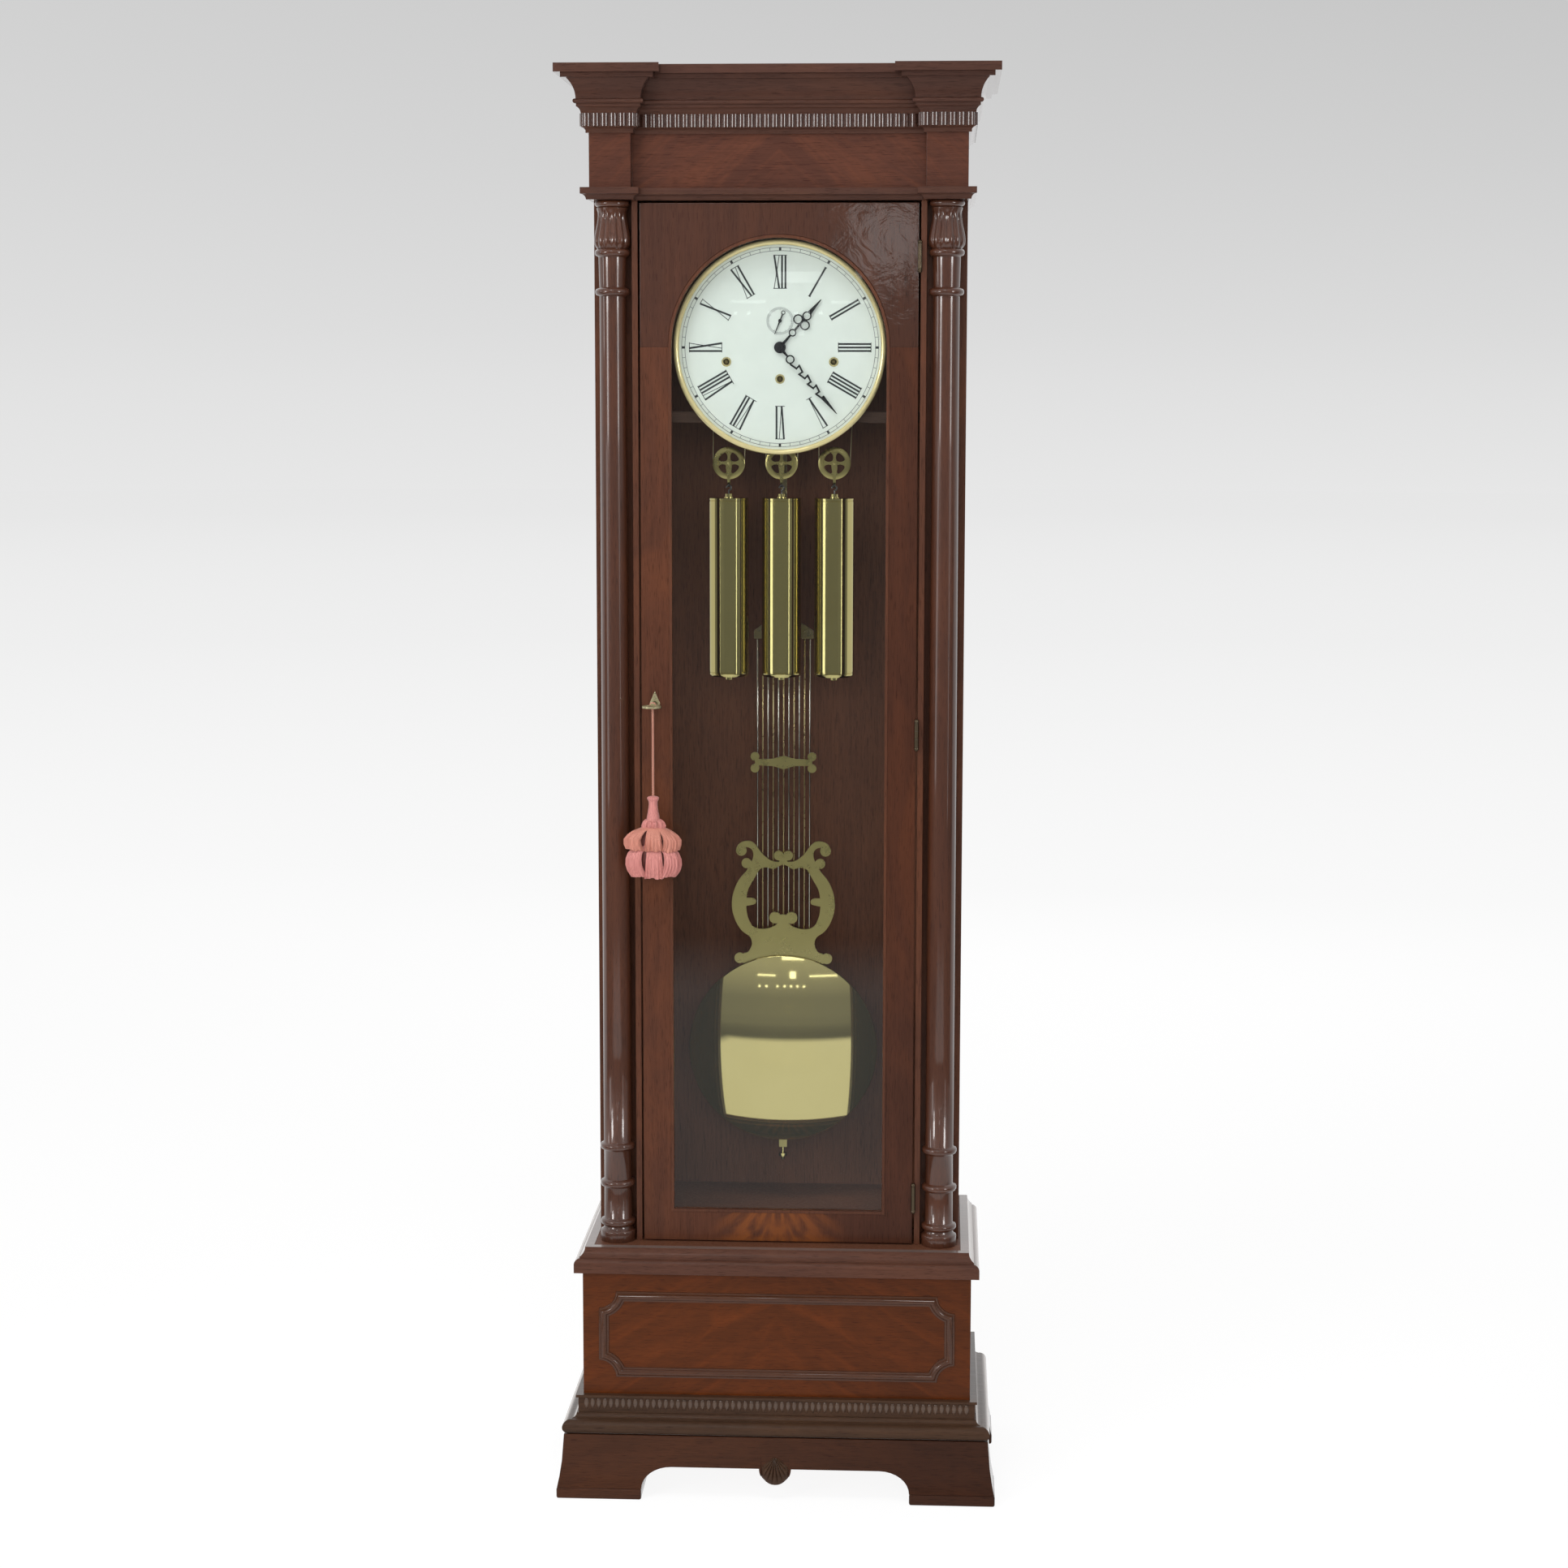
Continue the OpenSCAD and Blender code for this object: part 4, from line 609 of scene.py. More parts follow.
def makeColumns(setup):
    foot, head, cup = setup["foot"], setup["head"], setup["cup"]
    ring = setup["ring"]
    low, middle, high = (foot + rise for rise in setup["rings"])
    profile = [(0, foot), (25.6, foot), (26.3, foot + 1.2), (26.3, foot + 15), (25.6, foot + 16.5),
               (23.2, foot + 18), (21.8, foot + 20)]
    profile += ringProfile(low, ring, 20.9) + ringProfile(middle, ring, 20.7)
    profile += ringProfile(high, ring, 20.9)
    for share in range(1, 9):  # the shaft swells a little before it narrows
        z = high + 10 + (setup["neck"] - high - 20) * share / 9
        profile.append((21 - 2 * (share / 9) ** 1.5, z))
    profile += ringProfile(setup["neck"], ring - 0.8, 19.2) + [(19.4, setup["neck"] + 12)]
    profile += [(20.2, cup - 12)] + ringProfile(cup, ring - 0.6, 20.2)[:-1]
    vase = [(22.5, 6), (24.4, 8.5), (25.8, 11.5), (26.5, 15.5), (26.4, 20), (25.7, 25), (24.6, 31),
            (23.3, 37), (22.1, 43), (21.3, 49), (20.9, 54), (21.0, 58)]
    profile += [(radius, cup + rise) for radius, rise in vase]
    profile += [(22.3, head - 12.5), (22.5, head - 10.5), (20.6, head - 9.5), (22.8, head - 8.6),
                (25, head - 6.2), (25.4, head - 4.2), (24.6, head - 1.6), (23, head - 0.3), (0, head - 0.3)]
    shape = lathe(profile, 0, 0, 0, steps=setup["reeds"] * 12)
    axis = place(0, 0, 0)
    reedLow, reedHigh = setup["reedLow"], setup["reedHigh"]
    for vert in shape.verts:
        rise = vert.co.z / mm - cup
        if reedLow < rise < reedHigh:
            share = max(0.0, math.sin(math.pi * (rise - reedLow) / (reedHigh - reedLow))) ** 0.45
            out = Vector((vert.co.x, vert.co.y - axis.y, 0))
            angle = math.atan2(out.y, out.x)
            dip = setup["reedDepth"] * share * (1 - abs(math.cos(setup["reeds"] * angle / 2))) ** 0.8
            vert.co -= out.normalized() * dip * mm
    twin = shape.copy()
    shift(shape, (setup["x"] * mm, setup["depth"] * mm, 0))
    shift(twin, (-setup["x"] * mm, setup["depth"] * mm, 0))
    join(shape, twin)
    standIn("columns", shape, "turned_columns", 50)


makeColumns(column)
print("columns turned")


# the bead laid round the base panel, with its corners cut away

panelBead = {"width": 534, "height": 133, "z": 245, "depth": -19, "notch": 26,
             "profile": ((0.2, 0), (0.6, 1.5), (1.8, 2.1), (3.0, 2.1), (3.8, 3.6), (5.2, 5.7), (6.8, 6.7),
                         (8, 7), (9.2, 6.7), (10.8, 5.7), (12.2, 3.6), (13.0, 2.1), (14.2, 2.1),
                         (15.4, 1.5), (15.8, 0))}


def makePanelBead(setup):
    shape = bmesh.new()
    loops = []
    for inset, rise in setup["profile"]:
        reach = setup["notch"] + inset
        first = math.asin(inset / reach)
        outline = []
        for turn, (sideX, sideZ) in enumerate(((1, 1), (-1, 1), (-1, -1), (1, -1))):
            centreX, centreZ = sideX * setup["width"] / 2, setup["z"] + sideZ * setup["height"] / 2
            for i in range(17):
                angle = math.radians(270 + 90 * turn) - first - (math.pi / 2 - 2 * first) * i / 16
                outline.append(place(centreX + reach * math.cos(angle), setup["depth"] - rise,
                                     centreZ + reach * math.sin(angle)))
        verts = [shape.verts.new(point) for point in outline]
        loops.append([shape.edges.new((a, b)) for a, b in zip(verts, verts[1:] + verts[:1])])
    for first, second in zip(loops, loops[1:] + loops[:1]):
        bmesh.ops.bridge_loops(shape, edges=first + second)
    standIn("panel_bead", shape, "panel_moulding", 40)


makePanelBead(panelBead)


# carving: tongues on the base moulding and the shell under the apron

tongue = {"pitch": 9.2, "width": 6.6, "top": 147.5, "bottom": 130.5, "proud": 1.5,
          "front": -26.2, "side": 297.7, "margin": 6, "sideStart": -18, "sideLength": 318}


def makeTongues(setup):
    shape = bmesh.new()
    height, middle = setup["top"] - setup["bottom"], (setup["top"] + setup["bottom"]) / 2

    def oneTongue(turn, x, depth):
        one = bmesh.new()
        bmesh.ops.create_uvsphere(one, u_segments=8, v_segments=6, radius=1)
        for vert in one.verts:  # a drop, fuller above and pointed below
            vert.co.x *= 1 - 0.35 * max(0.0, -vert.co.z)
        bmesh.ops.scale(one, verts=one.verts,
                        vec=(setup["width"] / 2 * mm, setup["proud"] * mm, height / 2 * mm))
        bmesh.ops.rotate(one, verts=one.verts, cent=(0, 0, 0), matrix=Matrix.Rotation(turn, 3, "Z"))
        shift(one, place(x, depth, middle))
        join(shape, one)

    count = int(2 * (setup["side"] - setup["margin"]) / setup["pitch"])
    for i in range(count):
        oneTongue(0, (i - (count - 1) / 2) * setup["pitch"], setup["front"])
    for side in (-1, 1):
        for i in range(int(setup["sideLength"] / setup["pitch"])):
            oneTongue(math.pi / 2, side * setup["side"], setup["sideStart"] + i * setup["pitch"])
    addPiece("base_tongues", shape, wood["tongue"], "case", smooth=60)


shell = {"seat": -48, "top": 69, "middle": 45, "radius": 20, "spread": 52, "ribs": 9, "proud": 7.5}


def makeShell(setup):
    # a scallop: ribs fan out from the top and swell towards a round lower edge
    shape = bmesh.new()
    drop = setup["top"] - setup["middle"]
    bmesh.ops.create_grid(shape, x_segments=90, y_segments=28, size=1)
    for vert in shape.verts:
        across, down = vert.co.x, (vert.co.y + 1) / 2  # down runs from the top to the rim
        lean = across * math.radians(setup["spread"])
        chord = math.sqrt(max(0.0, setup["radius"] ** 2 - (drop * math.sin(lean)) ** 2))
        reach = (0.08 + 0.92 * down) * (drop * math.cos(lean) + chord)
        crown = math.sin(math.pi * min(1.0, 0.10 + down * 0.88)) ** 0.6
        crown *= math.cos(across * math.pi / 2) ** 0.5
        rib = abs(math.cos(across * setup["ribs"] * math.pi / 2)) ** 0.7
        depth = setup["seat"] - setup["proud"] * crown * (0.6 + 0.4 * rib)
        vert.co = place(math.sin(lean) * reach, depth, setup["top"] - math.cos(lean) * reach)
    rim = bmesh.ops.extrude_edge_only(shape, edges=[e for e in shape.edges if e.is_boundary])["geom"]
    for vert in vertsOf(rim):
        vert.co.y = frontPlane + setup["seat"] * mm
    bmesh.ops.holes_fill(shape, edges=[e for e in shape.edges if e.is_boundary])
    standIn("shell", shape, "apron_shell", 60)


makeTongues(tongue)
makeShell(shell)
print("carving made")


# dial: numerals, minute track and seconds ring

dialZ = 1711.7  # height of the dial's middle
dialFace = {"z": dialZ, "front": 55.75, "back": 56.0, "inner": 85, "outer": 132.5, "bar": 2.7,
            "hair": 1.0, "inset": 1.6, "gap": 0.4, "mark": (139.4, 143.4), "markWidth": 3.4,
            "ring": (139.0, 143.8), "line": 0.7, "secondsZ": dialZ + 38.4,
            "secondsRing": (17.0, 19.4), "secondsLine": 0.35, "longMark": 2.4}
numerals = ["XII", "I", "II", "III", "IIII", "V", "VI", "VII", "VIII", "IX", "X", "XI"]
glyphWidth = {"I": 5.0, "V": 10.0, "X": 10.5}


def dialBar(shape, centreZ, angle, start, end, width):
    # a thin bar between two points given across and outwards, then turned clockwise
    ahead = Vector((end[0] - start[0], end[1] - start[1]))
    aside = Vector((-ahead.y, ahead.x)).normalized() * width / 2
    corners = [Vector(start) + aside, Vector(end) + aside, Vector(end) - aside, Vector(start) - aside]
    outline = []
    for corner in corners:
        across = corner.x * math.cos(angle) + corner.y * math.sin(angle)
        up = corner.y * math.cos(angle) - corner.x * math.sin(angle)
        outline.append((across, centreZ + up))
    plate(outline, dialFace["front"], dialFace["back"], shape)


def dialRing(shape, centreZ, radius, width, steps=180):
    ring = lathe([(radius - width / 2, dialFace["front"]), (radius + width / 2, dialFace["front"]),
                  (radius + width / 2, dialFace["back"]), (radius - width / 2, dialFace["back"]),
                  (radius - width / 2, dialFace["front"])], 0, 0, centreZ, "y", steps)
    join(shape, ring)


def makeNumerals(setup):
    shape = bmesh.new()
    low, high, bar, hair = setup["inner"], setup["outer"], setup["bar"], setup["hair"]
    for hour, word in enumerate(numerals):
        angle = hour * math.pi / 6

        def stroke(start, end, width):
            dialBar(shape, setup["z"], angle, (start, low), (end, high), width)

        total = sum(glyphWidth[letter] for letter in word)
        left = -total / 2
        for letter in word:
            width = glyphWidth[letter]
            middle, spread = left + width / 2, width / 2 - setup["inset"]
            if letter == "I":
                stroke(middle, middle, bar)
            elif letter == "X":
                stroke(middle + spread, middle - spread, bar)
                stroke(middle - spread, middle + spread, hair)
            else:
                stroke(middle, middle - spread, bar)
                stroke(middle + setup["gap"], middle + spread, hair)
            left += width
        serif = total / 2 - setup["gap"]
        for radius in (low, high):
            dialBar(shape, setup["z"], angle, (-serif, radius), (serif, radius), hair)
    start, end = setup["mark"]
    for mark in range(12):
        dialBar(shape, setup["z"], mark * math.pi / 6, (0, start), (0, end), setup["markWidth"])
    addPiece("numerals", shape, paint["numeral_black"], "case")


def makeTrack(setup):
    shape = bmesh.new()
    start, end = setup["ring"]
    for radius in setup["ring"]:
        dialRing(shape, setup["z"], radius, setup["line"])
    for minute in range(60):
        dialBar(shape, setup["z"], minute * math.pi / 30, (0, start), (0, end), setup["line"])
    inner, outer = setup["secondsRing"]
    for radius in setup["secondsRing"]:
        dialRing(shape, setup["secondsZ"], radius, setup["secondsLine"], 72)
    for second in range(60):
        start = inner - (setup["longMark"] if second % 5 == 0 else 0)
        dialBar(shape, setup["secondsZ"], second * math.pi / 30, (0, start), (0, outer),
                setup["secondsLine"])
    addPiece("minute_track", shape, paint["numeral_grey"], "case")


makeNumerals(dialFace)
makeTrack(dialFace)


def domeRadius(reach, rise):
    # the radius of the ball from which a dome of this reach and rise is cut
    return (reach * reach + rise * rise) / (2 * rise)


bezel = {"z": dialZ, "outer": 155, "inner": 147.5, "front": 41, "back": 56}


def makeBezel(setup):
    inner, outer, front, back = setup["inner"], setup["outer"], setup["front"], setup["back"]
    middle = (inner + outer) / 2
    profile = [(inner, back), (inner, front + 3.2), (inner + 0.8, front + 1.6),
               (middle - 1.6, front + 0.4), (middle, front), (middle + 1.6, front + 0.4),
               (outer - 0.8, front + 1.6), (outer, front + 3.4), (outer, back - 0.4),
               (outer - 0.4, back), (inner, back)]
    shape = lathe(profile, 0, 0, setup["z"], "y", 144)
    standIn("bezel_ring", shape, "bezel", 50)


makeBezel(bezel)

lens = {"z": dialZ, "radius": 149.5, "apex": 38, "rim": 49, "thick": 2}


def makeLens(setup):
    # a shallow dome of even thickness, flat where its rim stands on the bezel's groove
    radius = setup["radius"]
    ball = domeRadius(radius, setup["rim"] - setup["apex"])
    centre = setup["apex"] + ball
    inside = ball - setup["thick"]
    reach = math.sqrt(inside ** 2 - (centre - setup["rim"]) ** 2)
    outer = [(radius * i / 24, centre - math.sqrt(ball ** 2 - (radius * i / 24) ** 2)) for i in range(25)]
    inner = [(reach * i / 20, centre - math.sqrt(inside ** 2 - (reach * i / 20) ** 2)) for i in range(21)]
    shape = lathe(outer + inner[::-1], 0, 0, setup["z"], "y", 144)
    standIn("lens", shape, "dial_glass", 60)


makeLens(lens)

windingRim = {"holes": ((-78.3, dialZ - 20.8), (78.3, dialZ - 20.8), (0, dialZ - 45.5)), "seat": 56,
              "profile": ((4.6, 0), (4.6, -1.1), (5, -1.4), (6.4, -1.4), (7, -0.9), (7, 0), (4.6, 0))}


def makeHoleRims(setup):
    shape = bmesh.new()
    for x, z in setup["holes"]:
        join(shape, lathe(setup["profile"], x, setup["seat"], z, "y", 32))
    addPiece("winding_rims", shape, metal["bezel_brass"], "case")


makeHoleRims(windingRim)
print("dial finished")


# weights, pulleys and their stirrups

weight = {"radius": 29.5, "top": 1492.0, "bottom": 1228.5, "depth": 104, "pulleyZ": 1543.0,
          "xs": {"left": -78.3, "centre": 0, "right": 78.3}}
# an open hook and the ring that it holds, above the top of the shell; the yoke's arms, foot and pin
# are measured from the middle of the pulley
hanging = {"bend": 3.4, "hookZ": 14.4, "hookWire": 1.3, "ringZ": 19.6, "ringWire": 1.1,
           "armInner": 3.9, "armOuter": 5.4,
           "arm": [(1.9, -31), (2.0, -25), (2.6, -17), (4.0, -8), (4.6, 0), (3.4, 3.4)],
           "foot": [(-1.9, -31), (1.9, -31), (1.9, -28.6), (-1.9, -28.6)],
           "pin": [(0, 6.4), (1.8, 6.4), (2.4, 6), (2.4, 5.2), (1.9, 5)]}


def otherHalf(points):
    # the other half of an outline that is the same to the left and the right
    return [(-across, up) for across, up in reversed(points)]


def makeWeight(side, x, setup):
    r, top, low = setup["radius"], setup["top"], setup["bottom"]
    profile = [(0, low - 8), (4.4, low - 8), (5, low - 7.4), (5, low - 2), (r - 2.4, low - 2),
               (r - 2, low - 1.4), (r - 1.4, low), (r - 0.5, low), (r, low + 0.6), (r, low + 3.4),
               (r - 0.6, low + 3.8), (r - 0.6, low + 4.6), (r, low + 5)]
    profile += [(r, top - 5), (r - 0.6, top - 4.6), (r - 0.6, top - 3.8), (r, top - 3.4),
                (r, top - 0.6), (r - 0.6, top), (7, top), (7, top + 1), (5.4, top + 1), (5.4, top + 5.6),
                (4.8, top + 6), (0, top + 6)]
    shape = lathe(profile, x, setup["depth"], 0, steps=96)
    standIn(side + "_shell", shape, side + "_weight", 40)
    middle, depth, bend = setup["pulleyZ"], setup["depth"], hanging["bend"]
    hook = [place(x, depth, top + 4)]
    for i in range(17):  # it bends round the ring
        angle = math.radians(-90 + i * 17)
        hook.append(place(x + bend * math.cos(angle), depth, top + hanging["hookZ"] + bend * math.sin(angle)))
    wire = sweep(hook, hanging["hookWire"], 10)
    ring = [place(x, depth + bend * math.sin(a), top + hanging["ringZ"] + bend * math.cos(a))
            for a in [i * math.pi / 10 for i in range(21)]]
    sweep(ring, hanging["ringWire"], 10, wire)
    addPiece(side + "_hook", wire, metal["dark_steel"], side + "_weight", smooth=60)
    inner, outer = hanging["armInner"], hanging["armOuter"]
    arm = [(x + a, middle + b) for a, b in hanging["arm"] + [(0, 4.8)] + otherHalf(hanging["arm"])]
    yoke = plate(arm, depth - outer, depth - inner)
    plate(arm, depth + inner, depth + outer, yoke)
    plate([(x + a, middle + b) for a, b in hanging["foot"]], depth - outer, depth + outer, yoke)
    pin = [(radius, -along) for radius, along in hanging["pin"]] + hanging["pin"][::-1]
    join(yoke, lathe(pin, x, depth, middle, "y", 20))
    addPiece(side + "_stirrup", yoke, metal["lyre_brass"], side + "_weight")


pulley = {
    "rim": [(16.6, -3), (23.4, -3), (24, -2.6), (24, -2.2), (22.2, -0.7), (22.2, 0.7), (24, 2.2),
            (24, 2.6), (23.4, 3), (16.6, 3), (16.2, 2.4), (16.2, -2.4), (16.6, -3)],
    "hub": [(2.1, -3.2), (4.6, -3.2), (5, -2.8), (5, 2.8), (4.6, 3.2), (2.1, 3.2), (2.1, -3.2)],
    "spoke": [(3.0, 3.6), (2.2, 6.2), (1.9, 8.6), (2.3, 11.4), (3.6, 14), (5.8, 15.6), (5.8, 17.2)],
    "spokes": 4, "spokeHalf": 1.3,
}


def makePulley(side, x, setup):
    depth, middle = weight["depth"], weight["pulleyZ"]
    shape = lathe(setup["rim"], x, depth, middle, "y", 64)
    join(shape, lathe(setup["hub"], x, depth, middle, "y", 32))
    for i in range(setup["spokes"]):
        turn = i * 2 * math.pi / setup["spokes"]
        across, up = math.cos(turn), math.sin(turn)
        outline = [(x + a * across - b * up, middle + a * up + b * across)
                   for a, b in setup["spoke"] + otherHalf(setup["spoke"])]
        plate(outline, depth - setup["spokeHalf"], depth + setup["spokeHalf"], shape)
    standIn(side + "_wheel", shape, side + "_pulley", 40)


cable = {"radius": 0.75, "fall": 23.05, "post": 30, "still": 1.66, "moving": 1.5435,
         "tops": {"left": 1688.6, "centre": 1663.9, "right": 1688.6}}


def makeCable(side, x, setup):
    # down from the drum, under the pulley and up to the post
    top, middle, depth, fall = setup["tops"][side], weight["pulleyZ"], weight["depth"], setup["fall"]
    path = [place(x - fall, depth, top)]
    for i in range(25):
        angle = math.pi + i * math.pi / 24
        path.append(place(x + fall * math.cos(angle), depth, middle + fall * math.sin(angle)))
    path.append(place(x + setup["post"], depth, top))
    piece = addPiece(side + "_line", sweep(path, setup["radius"], 10), metal["cable_brass"], None,
                     [side + "_cable"], 60)
    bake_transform(piece)


for side, x in weight["xs"].items():
    makeWeight(side, x, weight)
    makePulley(side, x, pulley)
    makeCable(side, x, cable)
print("weights hung")


# pendulum bob and rods

bob = {"z": 645, "radius": 145, "apex": 144.7, "rim": 164.7, "back": 167.7,
       "strap": {"rise": 60, "wide": 44, "high": 10, "front": 172.6, "back": 174.2, "screw": 18}}


def makeBob(setup):
    radius = setup["radius"]
    ball = domeRadius(radius, setup["rim"] - setup["apex"])
    profile = []
    for i in range(33):
        reach = radius * math.sin(i / 32 * math.pi / 2)
        reach = min(reach, radius - 1.2)
        profile.append((reach, setup["apex"] + ball - math.sqrt(ball * ball - reach * reach)))
    profile += [(radius - 0.5, setup["rim"] + 0.3), (radius, setup["rim"] + 1.1),
                (radius, setup["back"] - 0.8), (radius - 0.8, setup["back"]), (0, setup["back"])]
    shape = lathe(profile, 0, 0, setup["z"], "y", 144)
    strap = setup["strap"]
    for z in (setup["z"] - strap["rise"], setup["z"] + strap["rise"]):  # the two straps behind it
        right, low, high = strap["wide"] / 2, z - strap["high"] / 2, z + strap["high"] / 2
        plate([(-right, low), (right, low), (right, high), (-right, high)], strap["front"],
              strap["back"], shape)
        for x in (-strap["screw"], strap["screw"]):
            join(shape, lathe([(0, 167.4), (3, 167.4), (3, 175), (2.2, 176), (0, 176)], x, 0, z, "y", 16))
    standIn("bob", shape, "pendulum_bob", 40)


makeBob(bob)

rods = {"pitch": 7.95, "radius": 1.15, "low": 828, "high": 1277, "depth": 173.45}


def makeRods(setup):
    pale, golden = bmesh.new(), bmesh.new()
    radius, low, high = setup["radius"], setup["low"], setup["high"]
    profile = [(0, low), (radius * 0.7, low), (radius, low + 0.5), (radius, high - 0.5),
               (radius * 0.7, high), (0, high)]
    for i in range(-5, 6):
        rod = lathe(profile, i * setup["pitch"], setup["depth"], 0, steps=12)
        join(pale if i % 2 else golden, rod)
    standIn("pale_rods", pale, "pendulum_rods")
    addPiece("golden_rods", golden, metal["rod_brass"], "pendulum")


makeRods(rods)
print("pendulum hung")


# tassel: a wound head, a ruffle and two tiers of tufts, pressed flat against the door

tassel = {"x": -182, "depth": -12, "flat": 0.56, "top": 1060, "seed": 7, "row": 0.8, "thread": 0.22,
          "ripples": 14, "ripple": 0.07, "uneven": 0.03, "ragged": 1.6,
          "head": ((0, 0), (4, -0.3), (7.4, -1.2), (8.7, -2.8), (8.5, -4.6), (7.2, -6.4), (6.5, -9),
                   (6.4, -13), (6.9, -18), (7.8, -24), (8.8, -29), (9.6, -34), (9.2, -37), (0, -38)),
          "core": ((0, -36), (9, -37), (15, -50), (24, -66), (26, -84), (24, -104), (16, -112),
                   (0, -112))}
# each ring of tufts: how many, the first one's turn, their widths and thickness, and their line
tuftRings = {
    "ruffle": {"count": 11, "first": 0.2, "widths": (2.4, 4.2), "thick": 3.6,
               "path": ((4, -33), (10, -35), (13.5, -39), (14.5, -44), (13, -49.5))},
    "lower": {"count": 8, "first": 0.04, "widths": (8.5, 13.6), "thick": 7.5,
              "path": ((12, -70), (24, -76), (32, -84), (34.5, -93), (34, -102), (30.5, -111),
                       (24, -119.5))},
    "upper": {"count": 8, "first": 0.0, "widths": (6, 13.2), "thick": 6.5,
              "path": ((8, -45), (17, -48.5), (25, -52.5), (31, -58), (35, -64.5), (34, -72),
                       (30.5, -80))},
}


def addTuft(shape, setup, angle, path, widths, thick, chance, sides=42):
    # one bundle of threads that leaves the core, bends outwards and hangs with a ragged end
    loops = []
    across = Vector((math.cos(angle), math.sin(angle)))
    outward = Vector((math.sin(angle), -math.cos(angle)))
    uneven = setup["uneven"]
    ripple = [1 + setup["ripple"] * math.cos(2 * math.pi * i * setup["ripples"] / sides)
              + chance.uniform(-uneven, uneven) for i in range(sides)]
    ragged = [chance.uniform(-setup["ragged"], setup["ragged"]) for _ in range(sides // 3)]
    ends = [(reach, drop, 1.0) for reach, drop in path]
    ends.append((path[-1][0] - 0.5, path[-1][1] + 2.5, 0.5))
    for step, (reach, drop, scale) in enumerate(ends):
        share = min(1.0, step / (len(path) - 1))
        width = (widths[0] + (widths[1] - widths[0]) * share ** 0.55) * scale
        deep = thick * (0.55 + 0.45 * share) * scale
        ring = bmesh.ops.create_circle(shape, segments=sides, radius=1)["verts"]
        for count, vert in enumerate(ring):
            turn = math.atan2(vert.co.y, vert.co.x)
            swell = 1 + (ripple[count] - 1) * share
            flat = (across * width * math.cos(turn) + outward * (reach + deep * math.sin(turn))) * swell
            low = ragged[count // 3 % len(ragged)] if step == len(path) - 1 else 0.0
            vert.co = place(setup["x"] + flat.x, setup["depth"] + flat.y * setup["flat"],
                            setup["top"] + drop + low)
        addRing(shape, loops, ring)
    closeEnds(shape, loops)


def makeTufts(setup, ring, chance):
    shape = bmesh.new()
    path = ring["path"]
    for i in range(ring["count"]):
        angle = ring["first"] + 2 * math.pi * i / ring["count"] + chance.uniform(-0.06, 0.06)
        lift = chance.uniform(-1.5, 1.5)
        bent = [(reach * (1 + 0.03 * lift), drop + lift * n / len(path))
                for n, (reach, drop) in enumerate(path)]
        addTuft(shape, setup, angle, bent, ring["widths"], ring["thick"], chance)
    return shape


def makeTassel(setup):
    x, top, head = setup["x"], setup["top"], setup["head"]
    chance = random.Random(setup["seed"])
    wound = []
    for (r0, h0), (r1, h1) in zip(head, head[1:]):  # rows of winding thread
        rows = max(1, int(abs(h1 - h0) / setup["row"]))
        for i in range(rows):
            share = i / rows
            wound.append((r0 + (r1 - r0) * share + setup["thread"] * (i % 2), h0 + (h1 - h0) * share))
    shape = lathe(wound + [head[-1]], x, setup["depth"], top, steps=40)
    # a dark core of painted shade fills the middle between the tufts
    core = lathe(setup["core"], 0, 0, 0, steps=40)
    shift(core, -place(0, 0, 0))
    bmesh.ops.scale(core, verts=core.verts, vec=(1, setup["flat"] * 0.9, 1))
    shift(core, place(x, setup["depth"], top))
    join(shape, makeTufts(setup, tuftRings["ruffle"], chance))
    join(shape, makeTufts(setup, tuftRings["lower"], chance))
    addPiece("tassel_core", core, thread["shadow"], "tassel", smooth=70)
    upper = makeTufts(setup, tuftRings["upper"], chance)
    addPiece("tassel_upper", upper, thread["upper"], "tassel", smooth=50)
    standIn("tassel", shape, "key_tassel", 50)


makeTassel(tassel)
print("tassel tied")


# the key's cord, a twisted rope of three strands with a loop through the key

cord = {"x": -182, "depth": -12, "top": 1188.2, "bottom": 1060, "diameter": 4.0, "twist": 11.0,
        "loop": 3.4, "loopZ": 1193}


def makeCord(setup):
    shape = bmesh.new()
    length = setup["top"] - setup["bottom"]
    steps = int(length)
    ring = bmesh.ops.create_circle(shape, segments=24, radius=1)["verts"]
    for vert in ring:  # three lobes
        angle = math.atan2(vert.co.y, vert.co.x)
        reach = (0.78 + 0.22 * math.cos(3 * angle)) * setup["diameter"] / 2 * mm
        vert.co = Vector((reach * math.cos(angle), reach * math.sin(angle), 0))
    shift(shape, place(setup["x"], setup["depth"], setup["bottom"]))
    edges = list(shape.edges)
    axis = place(setup["x"], setup["depth"], 0)
    turn = Matrix.Rotation(2 * math.pi * length / steps / setup["twist"], 3, "Z")
    for _ in range(steps):
        grown = bmesh.ops.extrude_edge_only(shape, edges=edges)["geom"]
        verts = vertsOf(grown)
        edges = [g for g in grown if isinstance(g, bmesh.types.BMEdge) and all(v in verts for v in g.verts)]
        bmesh.ops.translate(shape, verts=verts, vec=(0, 0, length / steps * mm))
        bmesh.ops.rotate(shape, verts=verts, cent=axis, matrix=turn)
    bmesh.ops.holes_fill(shape, edges=[e for e in shape.edges if e.is_boundary])
    circle = [place(setup["x"] + setup["loop"] * math.sin(a), setup["depth"],
                    setup["loopZ"] + setup["loop"] * math.cos(a))
              for a in [i * math.pi / 16 for i in range(33)]]
    loop = addPiece("cord_loop", sweep(circle, setup["diameter"] / 2), thread["cord"], "tassel",
                    smooth=60)
    piece = standIn("cord", shape, "tassel_cord", 80)


makeCord(cord)
print("cord laid")


# stage and light

